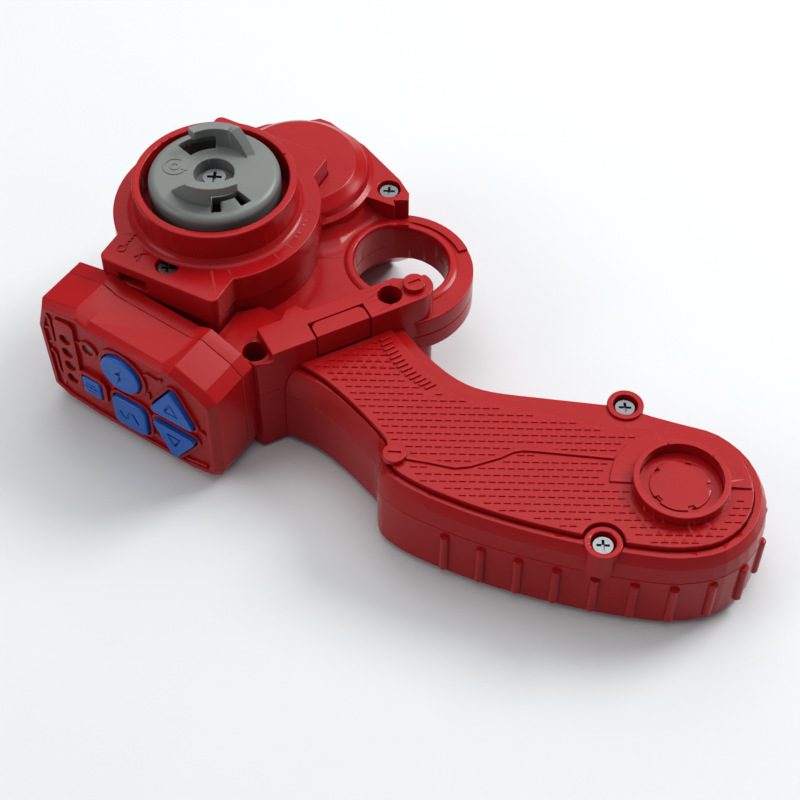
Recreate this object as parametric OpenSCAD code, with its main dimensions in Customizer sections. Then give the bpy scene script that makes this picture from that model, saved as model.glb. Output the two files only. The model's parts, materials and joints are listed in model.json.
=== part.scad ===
// Rip-cord launcher for a spinning top, with a control pod, a finger ring and a pistol grip.
// Millimetres. The origin is where the launch hub's axis meets the table, +X runs along the
// grip, +Y points away from the control pod and +Z goes up through the hub.

/* [Launch hub] */
// Diameter of the grey launch hub
hub_d = 36; // [32:1:40]
// Height of the hub's cup
hub_h = 9.6; // [8:0.2:11]
// Thickness of the hub's top face and skirt
hub_wall = 2.6; // [2:0.1:3.2]
// Rounding of the hub's upper edge
hub_edge = 2.2; // [1:0.1:3]
// Diameter of the central hole in the hub
hub_hole_d = 11; // [9:0.5:12]
// How far the hub stands above the collar
hub_proud = 2; // [1:0.5:4]
// Height of the two prongs above the hub
prong_h = 6.4; // [4:0.2:9]
// Radial thickness of a prong
prong_w = 2.8; // [2:0.1:3.4]
// Mean radius of the prongs
prong_r = 11.6; // [11:0.2:13]
// Thickness of a prong's overhanging tip
prong_tip_h = 2.8; // [2:0.2:3.6]

/* [Tower] */
// Radius of the tower's round casing
tower_r = 28.6; // [27:0.2:31]
// Width of the tower's square block
tower_w = 36.4; // [34:0.2:40]
// Height of the tower above the deck
tower_h = 17; // [16:0.5:20]
// Wall thickness of the tower
tower_wall = 2; // [1.6:0.1:2.6]
// Running gap between the hub and the collar
collar_gap = 2.3; // [1:0.1:2.6]
// Wall thickness of the collar
collar_w = 2.2; // [1.6:0.1:2.6]
// Height of the collar above the tower
collar_h = 10; // [8:0.5:12]
// Width of the rip-cord slot
slot_w = 8.4; // [7:0.2:9]
// Height of the rip-cord slot
slot_h = 3.4; // [3:0.1:3.8]

/* [Drive] */
// Diameter of the hub's spindle
spindle_d = 5; // [4:0.5:6]
// Outer diameter of the drive pinion
pinion_d = 12.4; // [11.5:0.1:12.6]
// Number of teeth on the pinion
pinion_teeth = 12; // [10:1:14]
// Depth of the pinion's teeth
tooth_h = 1.9; // [1.4:0.1:2.2]
// Number of face teeth on the clutch
clutch_teeth = 6; // [4:1:8]

/* [Body] */
// Height of the deck that carries the tower
deck_z = 30; // [28:0.5:32]
// Height of the drum plate above the deck
plate_h = 6; // [4:0.5:7]
// Height of the drum above its plate
drum_h = 5; // [3:0.5:6]
// Radius of the drum's foot
drum_r = 21.8; // [20:0.2:23]
// Radius of the drum's flat top
drum_top_r = 16.6; // [15:0.2:18]
// Wall thickness of the casings
body_wall = 2.2; // [1.8:0.1:2.6]
// Height of the seam between the two casings
seam_z = 22; // [20:0.5:23]
// Radius of the finger hole
finger_r = 13.4; // [12:0.2:14.4]
// Outer radius of the finger ring
ring_r = 20.8; // [20:0.2:22]
// Height of the finger ring's upper face
ring_top_z = 28; // [26:0.5:29]
// Height of the finger ring's lower face
ring_low_z = 16.5; // [14:0.5:18]
// Width of the cross bar
bar_w = 10.5; // [10:0.1:11]
// Height of the cross bar above the deck
bar_h = 7; // [6:0.5:8]

/* [Control pod] */
// Width of the pod's face
pod_w = 61; // [58:0.5:64]
// Height of the pod
pod_h = 42; // [40:0.5:44]
// Depth of the pod's front case
pod_front_d = 13.4; // [12:0.2:16]
// Depth of the pod's rear case
pod_rear_d = 4.6; // [4:0.2:6]
// Wall thickness of the pod
pod_wall = 2; // [1.6:0.1:2.4]
// Bevel round the pod's face
pod_bevel = 1.6; // [0.8:0.1:2]
// How far the buttons stand out of the face
button_proud = 1.8; // [1.2:0.1:2.4]
// How far a button travels
button_travel = 0.8; // [0.5:0.1:1]
// Radius of the round button
round_r = 6.5; // [5.5:0.1:7]
// Side of the rounded square button
square_w = 11.6; // [10:0.2:12.4]
// Side of the small mode button
mode_w = 6.4; // [5:0.2:7]
// Width of a triangle button
arrow_w = 14; // [12:0.2:14.4]
// Height of a triangle button
arrow_h = 12; // [10:0.2:12.4]
// Radius of the lamp holes
lamp_r = 1.6; // [1.2:0.1:1.9]

/* [Grip] */
// Length of the grip
grip_len = 130; // [120:1:140]
// Breadth that the curved grip spans
grip_span = 76; // [70:1:82]
// Height of the seam between the grip shells
grip_seam_z = 19; // [17:0.5:20]
// Height of the grip's upper shell at its rim
rim_z = 27.4; // [26:0.2:28.4]
// How far the textured plate stands above the rim
plate_proud = 1.6; // [1:0.2:2.4]
// Wall thickness of the grip shells
grip_wall = 2.2; // [1.8:0.1:2.6]
// Width of the bevel round the grip
bevel_w = 2.2; // [1.5:0.1:2.6]
// Radius of the round end of the grip
end_r = 23.2; // [22:0.2:24]
// Outer radius of the raised ring on the grip's end
boss_r = 12.5; // [11.5:0.1:13]
// Wall of the raised ring
boss_wall = 1.7; // [1.2:0.1:2.2]
// Height of the raised ring above the textured plate
boss_h = 3.6; // [2:0.2:5]
// Spacing of the ribs along the grip
rib_pitch = 10; // [8:0.5:12]
// Radius of a rib
rib_r = 1.3; // [1:0.1:1.6]

/* [Fasteners and battery] */
// Diameter of a screw head
head_d = 5.2; // [4.6:0.1:5.6]
// Diameter of a screw shank
shank_d = 2.8; // [2.4:0.1:3]
// Diameter of a screw well
well_d = 6.6; // [6.2:0.1:7]
// Diameter of a battery cell
cell_d = 10.5; // [10:0.1:10.8]
// Length of a battery cell
cell_l = 44.5; // [40:0.5:45]
// How far the latch pad can be pressed
latch_travel = 1.5; // [1:0.1:2]

/* [Hidden] */
$fn = 64;
red = "firebrick";
grey = "dimgray";
blue = "royalblue";
steel = "silver";

// Overrun of a cut past a face, the slip of a fixed fit and the gap of a moving one
over = 1;
slip = 0.05;
run = 0.3;
fine_fn = 24;
corner_r = 2;

// Plan of the body: shares of the tower's radius, seen from above, round the hub's axis
tower_turn = -24.1;
front_share = 1.112;
back_share = 1.084;
drum_share = [0.690, 0.860];
ring_share = [1.769, -0.126];
finger_share = [1.783, -0.066];
bar_end_share = [1.934, -0.626];
bar_turn = 30;
bar_root_share = [0.38, -1.523];
hole_b_share = [0.49, -1.444];
hole_c_share = [1.71, -0.755];
hole_d_share = [1.615, 0.70];
drum_plate_shares = [[1.82, 0.10], [1.82, 0.64], [1.715, 0.83], [1.33, 1.30], [0.95, 1.63],
    [0.84, 1.68], [0.72, 1.64], [0.30, 1.56], [-0.20, 1.30], [0, 0.30], [1.10, -0.10]];
neck_shares = [[-1.16, -0.66], [0.52, -1.60], [1.10, -1.30], [1.60, -0.90], [1.56, -0.55],
    [1.28, -0.10], [1.30, 0.30], [0.20, 0.70], [-0.60, 0.60]];
wedge_shares = [[0.735, -1.0], [0.83, -0.935], [1.0, -1.02], [1.04, -1.115], [1.13, -1.25],
    [0.66, -1.555], [0.62, -1.5]];
step_shares = [[0.30, -1.60], [0.66, -1.555], [0.735, -1.0], [0.42, -0.85], [0, -1.0]];
step_h = 4;
slot_share = 0.276;
slot_z_share = 0.71;
skirt_z_share = 0.5;
skirt_step = 0.8;
screw_a_share = 0.905;

// Heights of the tower and of the drive
tower_top = deck_z + tower_h;
collar_top = tower_top + collar_h;
hub_top = collar_top + hub_proud;
hub_r = hub_d / 2;
collar_in = hub_r + collar_gap;
plate_z = deck_z + plate_h;
slot_z = deck_z + tower_h * slot_z_share;
slot_off = tower_r * slot_share;
post_r = 3.4;
post_well = 3;
bush_wall = 1.5;
bush_flange = 1.6;
bush_h = 1;
spindle_r = spindle_d / 2;
bush_r = spindle_r + bush_wall;
flange_r = bush_r + bush_flange;
pinion_h = slot_h + 0.8 * slip;
bearing_h = 2;
clutch_h = 2.4;
dog_h = 1.2;
dog_in_share = 0.55;
spring_wire = 0.6;
seat_depth = 4;
seat_h = 2.5;
sleeve_r = hub_hole_d / 2 + hub_wall * 0.75;
window_in = hub_r * 0.53;
window_out = hub_r * 0.835;

// Angles round the hub: prong foot, top and tip, and the window below the tip
prong_foot = 35;
prong_crown = 64;
prong_back = 93;
prong_end = 128;
window_a = 94;
window_b = 138;
tab_a = 285;
tab_b = 306;
tab_share = 0.62;

// Places of the body's parts
function at(share) = tower_r * share;
function along(turn, p) = [p[0] * cos(turn) - p[1] * sin(turn), p[0] * sin(turn) + p[1] * cos(turn)];
function sized(shares, size) = [for (s = shares) [s[0] * size[0], s[1] * size[1]]];
bar_end = at(bar_end_share);
bar_len = norm(at(bar_end_share) - at(bar_root_share));

// Pod frame: x to the right along the face, y into the pod, z up
pod_turn = -30.5;
pod_share = [-0.745, -1.615];
pod_d = pod_front_d + pod_rear_d;
pod_face_shares = [[-0.48, 0.10], [-0.40, 0.03], [-0.20, 0], [0.36, 0], [0.48, 0.04], [0.5, 0.12],
    [0.5, 0.80], [0.44, 0.87], [0.285, 0.965], [0.215, 0.925], [-0.18, 0.95], [-0.255, 1],
    [-0.46, 0.93], [-0.5, 0.72], [-0.49, 0.40]];
pod_bevel_d = 2.4;
face_recess = 0.7;
face_rim = 1.4;
round_share = [-0.008, 0.655];
square_share = [0.012, 0.262];
mode_share = [-0.200, 0.338];
up_arrow_share = [0.270, 0.618];
down_arrow_share = [0.270, 0.235];
lamp_shares = [[-0.325, 0.693], [-0.325, 0.562], [-0.325, 0.431], [-0.325, 0.300], [-0.198, 0.700]];
button_play = 0.25;
button_round = 1.2;
flange_w = 0.8;
flange_h = 1;
board_gap = 6;
board_h = 1.6;
switch_w = 6;
switch_h = 3.2;
plunger_r = 1.6;
board_share = [0.74, 0.76];
board_low_share = 0.081;
board_post_r = 2;
board_screw_r = 0.9;
board_screw_h = 1;
board_post_shares = [[-0.345, 0.80], [0.335, 0.81], [-0.345, 0.17], [0.16, 0.115]];
pod_post_r = 2.6;
pod_post_shares = [[-0.42, 0.52], [0.44, 0.427]];
lamp_d = 5;
lamp_set = 0.9;

// Grip frame: x along the grip, y across it from its lowest point. grip_share is where it
// meets the bar
grip_share = [0.70, -1.17826];
seam_shares = [[-0.030, 0.742], [0.031, 0.706], [0.085, 0.657], [0.138, 0.579], [0.185, 0.495],
    [0.217, 0.429], [0.219, 0.358], [0.231, 0.295], [0.277, 0.232], [0.346, 0.175],
    [0.431, 0.120], [0.531, 0.071], [0.635, 0.032], [0.731, 0.007], [0.819, 0], [0.908, 0.042],
    [0.971, 0.150], [0.996, 0.305], [0.972, 0.459], [0.908, 0.570], [0.831, 0.613],
    [0.769, 0.643], [0.708, 0.676], [0.615, 0.691], [0.523, 0.703], [0.446, 0.717],
    [0.396, 0.745], [0.350, 0.803], [0.308, 0.880], [0.273, 0.957], [0.238, 1.022]];
inlay_shares = [[0.004, 0.788], [0.065, 0.724], [0.102, 0.677], [0.154, 0.591], [0.200, 0.502],
    [0.228, 0.438], [0.236, 0.366], [0.252, 0.312], [0.293, 0.262], [0.355, 0.212],
    [0.437, 0.160], [0.534, 0.113], [0.636, 0.075], [0.730, 0.051], [0.817, 0.046], [0.894, 0.082],
    [0.948, 0.176], [0.968, 0.308], [0.948, 0.438], [0.894, 0.530], [0.827, 0.560],
    [0.769, 0.556], [0.708, 0.549], [0.615, 0.584], [0.523, 0.616], [0.446, 0.642],
    [0.396, 0.653], [0.350, 0.692], [0.309, 0.768], [0.265, 0.871], [0.212, 0.996]];
spline_n = 3;
end_share = [0.817, 0.305];
sector_share = 0.78;
sector_h = 0.6;
inlay_less = 0.9;
inlay_gap = 0.3;
inlay_depth = 1.6;
rim_mid_share = 0.62;
rim_in_share = 0.3;
foot_r = 1.4;
rib_low = 3;
rib_top_gap = 2.2;
rib_first_share = 0.245;
rib_last_share = 0.60;
boss_share = [0.715, 0.652];
boss2_share = [0.665, 0.070];
screw_boss_r = 4.9;
screw_boss_h = 0.8;
bar_meet_share = [0, 0.85];
cap_share = [0.253, 0.372];
cap_r = 3.1;
cap_h = 1.6;
cap_slot = 0.9;
floor_h = 2.4;
cell_share = [0.42, 0.16];
cell_turn = -4;
cell_gap = 0.6;
cell_count = 2;
door_margin = 4;
door_h = 2;
door_play = 0.2;
contact_h = 0.5;
contact_gap = 1.2;
door_screw_share = 0.5;
door_tab = 3;
grip_post_r = 3.6;
seam_turn = 50;

// Latch in the notch of the bar
latch_l = 15.6;
latch_w = 5.4;
latch_play = 0.35;
latch_at_share = 0.46;
latch_depth = 8;
latch_h = 6.4;

// Catmull-Rom curve through a list of points, whose two ends a straight edge joins
function curve_point(a, b, c, d, t) =
    ((2 * b) + (c - a) * t + (2 * a - 5 * b + 4 * c - d) * t * t
    + (3 * b - a - 3 * c + d) * t * t * t) / 2;
function smooth(p, n) = let (m = len(p) - 1) [
    for (i = [0:m - 1], k = [0:n - 1])
        curve_point(p[max(i - 1, 0)], p[i], p[i + 1], p[min(i + 2, m)], k / n), p[m]];
// The same outline moved inwards by d, for a list that runs anticlockwise. Its ends slide
// along the straight edge that joins them.
function inset(p, d) = let (m = len(p) - 1, w = (p[m] - p[0]) / norm(p[m] - p[0])) [
    for (i = [0:m])
        let (t = p[min(i + 1, m)] - p[max(i - 1, 0)], n = [-t[1], t[0]] / norm(t))
            i > 0 && i < m ? p[i] + d * n : p[i] + w * d / (w * n)];
function inner(p, k) = [for (i = [k:len(p) - 1 - k]) p[i]];
grip_size = [grip_len, grip_span];
seam_outline = smooth(sized(seam_shares, grip_size), spline_n);
inlay_outline = inset(smooth(sized(inlay_shares, grip_size), spline_n), inlay_less);
end_wall_n = 2;

// Solid through equal rings of points at rising heights. Each end is a strip of triangles
// between the outline's two flanks, because both grip outlines bend inwards.
module loft(rings, heights) {
    n = len(rings[0]);
    m = len(rings);
    points = [for (j = [0:m - 1], p = rings[j]) [p[0], p[1], heights[j]]];
    strip = [for (i = [0:floor((n - 1) / 2) - 1], half = [0, 1])
        if (half == 1 || i + 1 < n - 2 - i)
            half == 1 ? [i, n - 2 - i, n - 1 - i] : [i, i + 1, n - 2 - i]];
    top = [for (t = strip) [for (k = [2:-1:0]) (m - 1) * n + t[k]]];
    sides = [for (j = [0:m - 2], i = [0:n - 1], half = [0, 1])
        let (a = j * n + i, b = j * n + (i + 1) % n)
        half == 0 ? [a, a + n, b + n] : [a, b + n, b]];
    polyhedron(points = points, faces = concat(strip, top, sides));
}

// Helix of wire with six sides, from height z to z + h
module coil(r, wire, turns, h) {
    steps = 10;
    rings = turns * steps;
    sides = 6;
    points = [for (i = [0:rings], k = [0:sides - 1])
        let (a = 360 * i / steps, b = 360 * k / sides, q = r + wire / 2 * cos(b))
        [q * cos(a), q * sin(a), wire / 2 + (h - wire) * i / rings + wire / 2 * sin(b)]];
    skin = [for (i = [0:rings - 1], k = [0:sides - 1], half = [0, 1])
        let (a = i * sides + k, b = i * sides + (k + 1) % sides)
        half == 0 ? [a, a + sides, b + sides] : [a, b + sides, b]];
    first = [for (k = [0:sides - 1]) k];
    last = [for (k = [sides - 1:-1:0]) rings * sides + k];
    polyhedron(points = points, faces = concat([first, last], skin));
}

module rounded(w, h, r) {
    square([w - 2 * r, h], center = true);
    square([w, h - 2 * r], center = true);
    for (x = [-1, 1], y = [-1, 1])
        translate([x * (w / 2 - r), y * (h / 2 - r)]) circle(r = r, $fn = fine_fn);
}

// Screw with its head's seat at the origin and its shank going down
module screw(length, d = shank_d, head = head_d) {
    head_h = head * 0.38;
    difference() {
        cylinder(d = head, h = head_h, $fn = fine_fn);
        translate([0, 0, head_h * 0.4]) for (a = [0, 90]) rotate(a)
            translate([-head * 0.32, -head * 0.07, 0]) cube([head * 0.64, head * 0.14, head_h]);
    }
    translate([0, 0, -length]) cylinder(d = d, h = length, $fn = fine_fn);
}
// Clearance hole down from a head's seat, with the well above it
module screw_hole(seat, top, length, play = 0.2) {
    translate([0, 0, seat]) cylinder(d = well_d, h = top - seat + over, $fn = fine_fn);
    translate([0, 0, seat - length]) cylinder(d = shank_d + 2 * play, h = length + over, $fn = fine_fn);
}
module pilot_hole(seat, length) {
    translate([0, 0, seat - length - slip])
        cylinder(d = shank_d + 2 * slip, h = length + slip, $fn = fine_fn);
}

// Seats and lengths of the casing screws, by their places
seat_a = tower_top - post_well;
seat_deep = seam_z + 2 * over;
seat_d = plate_z - post_well;
screw_len = 12;
screw_long = 16;
function tower_xy(p) = along(tower_turn, p);
place_a = tower_xy([0, -at(screw_a_share)]);
place_b = at(hole_b_share);
place_c = at(hole_c_share);
place_d = at(hole_d_share);

// The tower's own frame, turned about the hub's axis
module tower_frame() { rotate(tower_turn) children(); }
module tower_plan(less = 0) {
    circle(r = tower_r - less);
    depth = at(front_share) + at(back_share) - 2 * less;
    translate([0, (at(back_share) - at(front_share)) / 2])
        rounded(tower_w - 2 * less, depth, corner_r);
}
module pod_frame() { translate(at(pod_share)) rotate(pod_turn) children(); }
// A slab of the pod between two depths, from an outline in width and height
module slab(from, to) {
    translate([0, to, 0]) rotate([90, 0, 0]) linear_extrude(to - from) children();
}
module bar_frame() { translate(bar_end) rotate(bar_turn) children(); }
// The grip grows away from the place where it meets the bar
module grip_frame() { translate(at(grip_share) - on_grip(bar_meet_share)) children(); }
// Everything on the tower's side of the cross bar's edge, where the grip's pieces end
module bar_side() {
    bar_frame() translate([-2 * bar_len, -bar_w / 2, -over]) cube([4 * bar_len, grip_len, hub_top]);
}
// Everything in front of the pod's rear face, below the pod's top
module pod_space() {
    pod_frame() translate([-pod_w, -pod_w + pod_d, -over]) cube([2 * pod_w, pod_w, pod_h + over + slip]);
}

// Plan of both casings
module body_plan() {
    tower_frame() tower_plan();
    polygon([for (p = neck_shares) at(p)]);
    polygon([for (p = drum_plate_shares) at(p)]);
    bar_plan();
}
module bar_plan() {
    bar_frame() {
        circle(d = bar_w);
        translate([-bar_len, -bar_w / 2]) square([bar_len, bar_w]);
    }
}
module drum_place() { translate(at(drum_share)) children(); }
module body_room(from, to) {
    translate([0, 0, from]) {
        cylinder(r = tower_r - body_wall, h = to - from);
        drum_place() cylinder(r = drum_r - body_wall, h = to - from);
    }
}
module ring_half(from, to) {
    translate([at(ring_share)[0], at(ring_share)[1], from]) cylinder(r = ring_r, h = to - from);
}
module finger_hole() {
    translate([at(finger_share)[0], at(finger_share)[1], -over]) cylinder(r = finger_r, h = 2 * hub_top);
}
module latch_notch(low) {
    bar_frame() translate([-bar_len * latch_at_share - latch_l / 2 - latch_play, -bar_w / 2 - over, low])
        cube([latch_l + 2 * latch_play, latch_w + latch_play + over, hub_top]);
}

module lower_casing() color(red) difference() {
    union() {
        linear_extrude(seam_z) body_plan();
        ring_half(ring_low_z, seam_z);
    }
    body_room(body_wall, seam_z + over);
    finger_hole();
    pod_space();
    for (p = [place_b, place_c, place_d]) translate(p) pilot_hole(seam_z + over, screw_long);
}

module drum() {
    drop = drum_h * 0.5;
    edge = drum_r - drum_top_r;
    drum_place() translate([0, 0, plate_z]) rotate_extrude() polygon([[0, -over], [drum_r, -over],
        [drum_r, 0], [drum_top_r + edge * 0.75, drum_h * 0.16], [drum_top_r + edge * 0.62, drop],
        [drum_top_r + edge * 0.2, drum_h * 0.82], [drum_top_r, drum_h], [0, drum_h]]);
}

module upper_casing() color(red) difference() {
    union() {
        translate([0, 0, seam_z]) linear_extrude(deck_z - seam_z) body_plan();
        difference() {
            union() {
                translate([0, 0, deck_z - over]) linear_extrude(plate_h + over)
                    polygon([for (p = drum_plate_shares) at(p)]);
                drum();
            }
            translate([0, 0, deck_z]) tower_frame() linear_extrude(hub_top) tower_plan(-slip);
        }
        ring_half(seam_z, ring_top_z);
        difference() {
            translate([0, 0, deck_z - over]) linear_extrude(bar_h + over) {
                bar_plan();
                polygon([for (p = wedge_shares) at(p)]);
            }
            bar_frame() translate([-2 * bar_len, -bar_w, deck_z + step_h])
                cube([bar_len * 1.13, 2 * bar_w, bar_h]);
        }
        translate([0, 0, deck_z - over]) linear_extrude(step_h + over)
            difference() {
                polygon([for (p = step_shares) at(p)]);
                tower_frame() tower_plan(-slip);
            }
    }
    body_room(seam_z - over, deck_z - body_wall);
    drum_place() translate([0, 0, seam_z])
        cylinder(r = drum_top_r - body_wall, h = plate_z + drum_h - body_wall - seam_z);
    finger_hole();
    pod_space();
    translate(place_b) screw_hole(seat_deep, deck_z + step_h, screw_long);
    translate(place_c) screw_hole(seat_deep, deck_z + bar_h, screw_long);
    translate(place_d) screw_hole(seat_d, plate_z, screw_long);
    translate(place_a) pilot_hole(seat_a, screw_long);
    translate([0, 0, seam_z]) cylinder(r = bush_r + slip, h = deck_z);
    latch_notch(deck_z + bar_h - latch_depth - latch_h);
}

module launch_tower() color(red) difference() {
    union() {
        translate([0, 0, deck_z]) tower_frame() {
            linear_extrude(tower_h * skirt_z_share) tower_plan(skirt_step);
            translate([0, 0, tower_h * skirt_z_share])
                linear_extrude(tower_h * (1 - skirt_z_share)) tower_plan();
        }
        translate([0, 0, tower_top - over]) cylinder(r = collar_in + collar_w, h = collar_h + over);
    }
    difference() {
        translate([0, 0, deck_z - over]) tower_frame()
            linear_extrude(tower_h - tower_wall + over) tower_plan(skirt_step + tower_wall);
        translate([place_a[0], place_a[1], deck_z]) cylinder(r = post_r, h = tower_h, $fn = fine_fn);
    }
    translate([0, 0, tower_top]) cylinder(r = collar_in, h = collar_h + over);
    translate([0, 0, deck_z]) cylinder(r = bush_r + slip, h = tower_h + over);
    tower_frame() translate([-slot_off - slot_w / 2, -tower_r * 2, slot_z - slot_h / 2])
        cube([slot_w, tower_r * 4, slot_h]);
    translate(place_a) screw_hole(seat_a, tower_top, screw_long);
    pod_space();
}

module hub_profile() {
    difference() {
        union() {
            square([hub_r, hub_h - hub_edge]);
            square([hub_r - hub_edge, hub_h]);
            translate([hub_r - hub_edge, hub_h - hub_edge]) circle(r = hub_edge, $fn = fine_fn);
        }
        translate([sleeve_r, -over]) square([hub_r - sleeve_r - hub_wall, hub_h - hub_wall + over]);
        translate([-over, hub_h - seat_depth]) square([hub_hole_d / 2 + over, seat_depth + over]);
        translate([-over, -over]) square([spindle_r + slip + over, hub_h - seat_depth - seat_h + over]);
        translate([-over, -over]) square([shank_d / 2 + slip + over, hub_h]);
        translate([-2 * over, -over]) square([2 * over, hub_h + 2 * over]);
    }
}
module sector(r_in, r_out, a, b, h) {
    rotate(a) rotate_extrude(angle = b - a) translate([r_in, 0]) square([r_out - r_in, h]);
}
module prong() {
    foot_len = prong_r * (prong_crown - prong_foot) * PI / 180;
    difference() {
        sector(prong_r - prong_w / 2, prong_r + prong_w / 2, prong_foot, prong_end, prong_h);
        sector(prong_r - prong_w, prong_r + prong_w, prong_back, prong_end + prong_foot,
            prong_h - prong_tip_h);
        rotate(prong_foot) translate([prong_r - prong_w * 1.5, 0, 0]) rotate([atan2(prong_h, foot_len), 0, 0])
            translate([0, -hub_r, 0]) cube([prong_w * 3, 2 * hub_r, hub_r]);
    }
}
module launch_hub() color(grey) {
    translate([0, 0, hub_top - hub_h]) difference() {
        rotate_extrude() hub_profile();
        for (turn = [0, 180]) rotate(turn) translate([0, 0, hub_h - hub_wall - over])
            sector(window_in, window_out, window_a, window_b, hub_wall + 2 * over);
    }
    translate([0, 0, hub_top - hub_wall])
        sector(hub_r * tab_share, window_out + slip, tab_a, tab_b, hub_wall - slip);
    translate([0, 0, hub_top]) for (turn = [0, 180]) rotate(turn) prong();
}
module hub_screw() color(steel)
    translate([0, 0, hub_top - seat_depth]) screw(screw_len * 0.5, shank_d, head_d * 1.2);

spindle_low = deck_z - body_wall;
spindle_top = hub_top - seat_depth - seat_h - slip;
clutch_top = slot_z - slot_h / 2 - run;
clutch_low = clutch_top - clutch_h;
module hub_spindle() color(steel) difference() {
    translate([0, 0, spindle_low]) cylinder(r = spindle_r, h = spindle_top - spindle_low);
    translate([0, 0, spindle_top - screw_len * 0.5]) cylinder(d = shank_d + 2 * slip, h = screw_len);
}
module dogs(r_in, r_out, h) {
    for (i = [0:clutch_teeth - 1])
        sector(r_in, r_out, 360 * i / clutch_teeth, 360 * (i + 0.42) / clutch_teeth, h);
}
clutch_r = pinion_d / 2 - tooth_h;
module clutch_disc() color("tan") translate([0, 0, clutch_low]) {
    difference() {
        cylinder(r = clutch_r, h = clutch_h - dog_h);
        translate([0, 0, -over]) cylinder(r = spindle_r + slip, h = clutch_h);
    }
    translate([0, 0, clutch_h - dog_h - slip]) dogs(spindle_r + run, clutch_r - run, dog_h + slip);
}
module gear_plan() {
    root = pinion_d / 2 - tooth_h;
    tip_share = 0.22;
    root_share = 0.32;
    polygon([for (i = [0:pinion_teeth - 1], k = [[root, -root_share], [pinion_d / 2, -tip_share],
        [pinion_d / 2, tip_share], [root, root_share]])
        let (a = 360 * (i + k[1]) / pinion_teeth) k[0] * [cos(a), sin(a)]]);
}
module drive_pinion() color("wheat") {
    translate([0, 0, slot_z - slot_h / 2]) difference() {
        linear_extrude(slot_h) gear_plan();
        translate([0, 0, -over]) cylinder(r = spindle_r + slip, h = slot_h + 2 * over);
    }
    translate([0, 0, clutch_top - dog_h]) rotate(360 * 0.5 / clutch_teeth)
        translate([0, 0, run]) dogs(spindle_r + run, clutch_r - run, dog_h + slip);
}

bearing_z = deck_z + bush_h;
module lower_bush() color("goldenrod") difference() {
    union() {
        translate([0, 0, deck_z - body_wall]) cylinder(r = bush_r, h = body_wall + bush_h);
        translate([0, 0, deck_z]) cylinder(r = flange_r, h = bush_h);
    }
    translate([0, 0, seam_z]) cylinder(r = spindle_r + slip, h = deck_z);
}
module upper_bush() color("goldenrod") difference() {
    union() {
        translate([0, 0, tower_top - tower_wall]) cylinder(r = bush_r, h = tower_wall + bush_h);
        translate([0, 0, tower_top]) cylinder(r = flange_r, h = bush_h);
    }
    translate([0, 0, deck_z]) cylinder(r = spindle_r + slip, h = hub_top);
}
module clutch_spring() color(steel) translate([0, 0, deck_z + bush_h])
    coil(spindle_r + 2 * spring_wire, spring_wire, 4, clutch_low - deck_z - bush_h - slip);

// Plate with the posts and the channel that guide the rip cord past the pinion
rail_w = 1.8;
rail_gap_share = 0.42;
guide_low = clutch_top + run;
module cord_guide() color("gainsboro") tower_frame() {
    len_share = 0.76;
    rail_l = tower_r * len_share;
    height = slot_z + slot_h / 2 - deck_z;
    half_l = rail_l * (1 - rail_gap_share);
    left = -slot_off - slot_w / 2 - rail_w;
    translate([left, -rail_l, deck_z]) cube([rail_w, 2 * rail_l, height]);
    for (y = [-rail_l, rail_l - half_l]) translate([left, y, deck_z]) {
        cube([slot_w + 2 * rail_w, half_l, slot_z - slot_h / 2 - deck_z]);
        translate([slot_w + rail_w, 0, 0]) cube([rail_w * 0.5, half_l, height]);
    }
}
module bearing_plate() color("gainsboro") tower_frame() {
    reach = tower_w * 0.36;
    low = clutch_low - deck_z;
    translate([0, 0, deck_z]) {
        for (y = [-0.5, 0.5]) translate([reach, y * reach, 0])
            cylinder(r = post_r, h = low, $fn = fine_fn);
        translate([reach * 0.62, -reach * 0.8, low - bearing_h])
            cube([reach * 0.7, reach * 1.6, bearing_h]);
    }
}

// Pod: outline rings for the front case, its room and the rear case
function pod_ring(less) = [for (p = pod_face_shares)
    [p[0] * (pod_w - 2 * less), p[1] * (pod_h - 2 * less) + less]];
module pod_loft(rings, depths) {
    mirror([0, 1, 0]) rotate([90, 0, 0]) loft(rings, depths);
}
module button_plan(kind, grow = 0) {
    if (kind == "round") circle(r = round_r + grow, $fn = 48);
    if (kind == "square") rounded(square_w + 2 * grow, square_w + 2 * grow, 2 * button_round);
    if (kind == "mode") rounded(mode_w + 2 * grow, mode_w + 2 * grow, button_round * 0.6);
    if (kind == "arrow") hull() for (p = [[-0.5, -0.5], [0.5, -0.5], [0.06, 0.5]])
        translate([p[0] * (arrow_w - 2 * button_round), p[1] * (arrow_h - 2 * button_round)])
            circle(r = button_round + grow, $fn = fine_fn);
}
module face_at(share) { translate([share[0] * pod_w, share[1] * pod_h]) children(); }
module all_buttons(grow = 0) {
    face_at(round_share) button_plan("round", grow);
    face_at(square_share) button_plan("square", grow);
    face_at(mode_share) button_plan("mode", grow);
    face_at(up_arrow_share) button_plan("arrow", grow);
    face_at(down_arrow_share) rotate(180) button_plan("arrow", grow);
}
module pod_posts(from, to) {
    slab(from, to) for (p = pod_post_shares) face_at(p) circle(r = pod_post_r, $fn = fine_fn);
}
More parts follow.
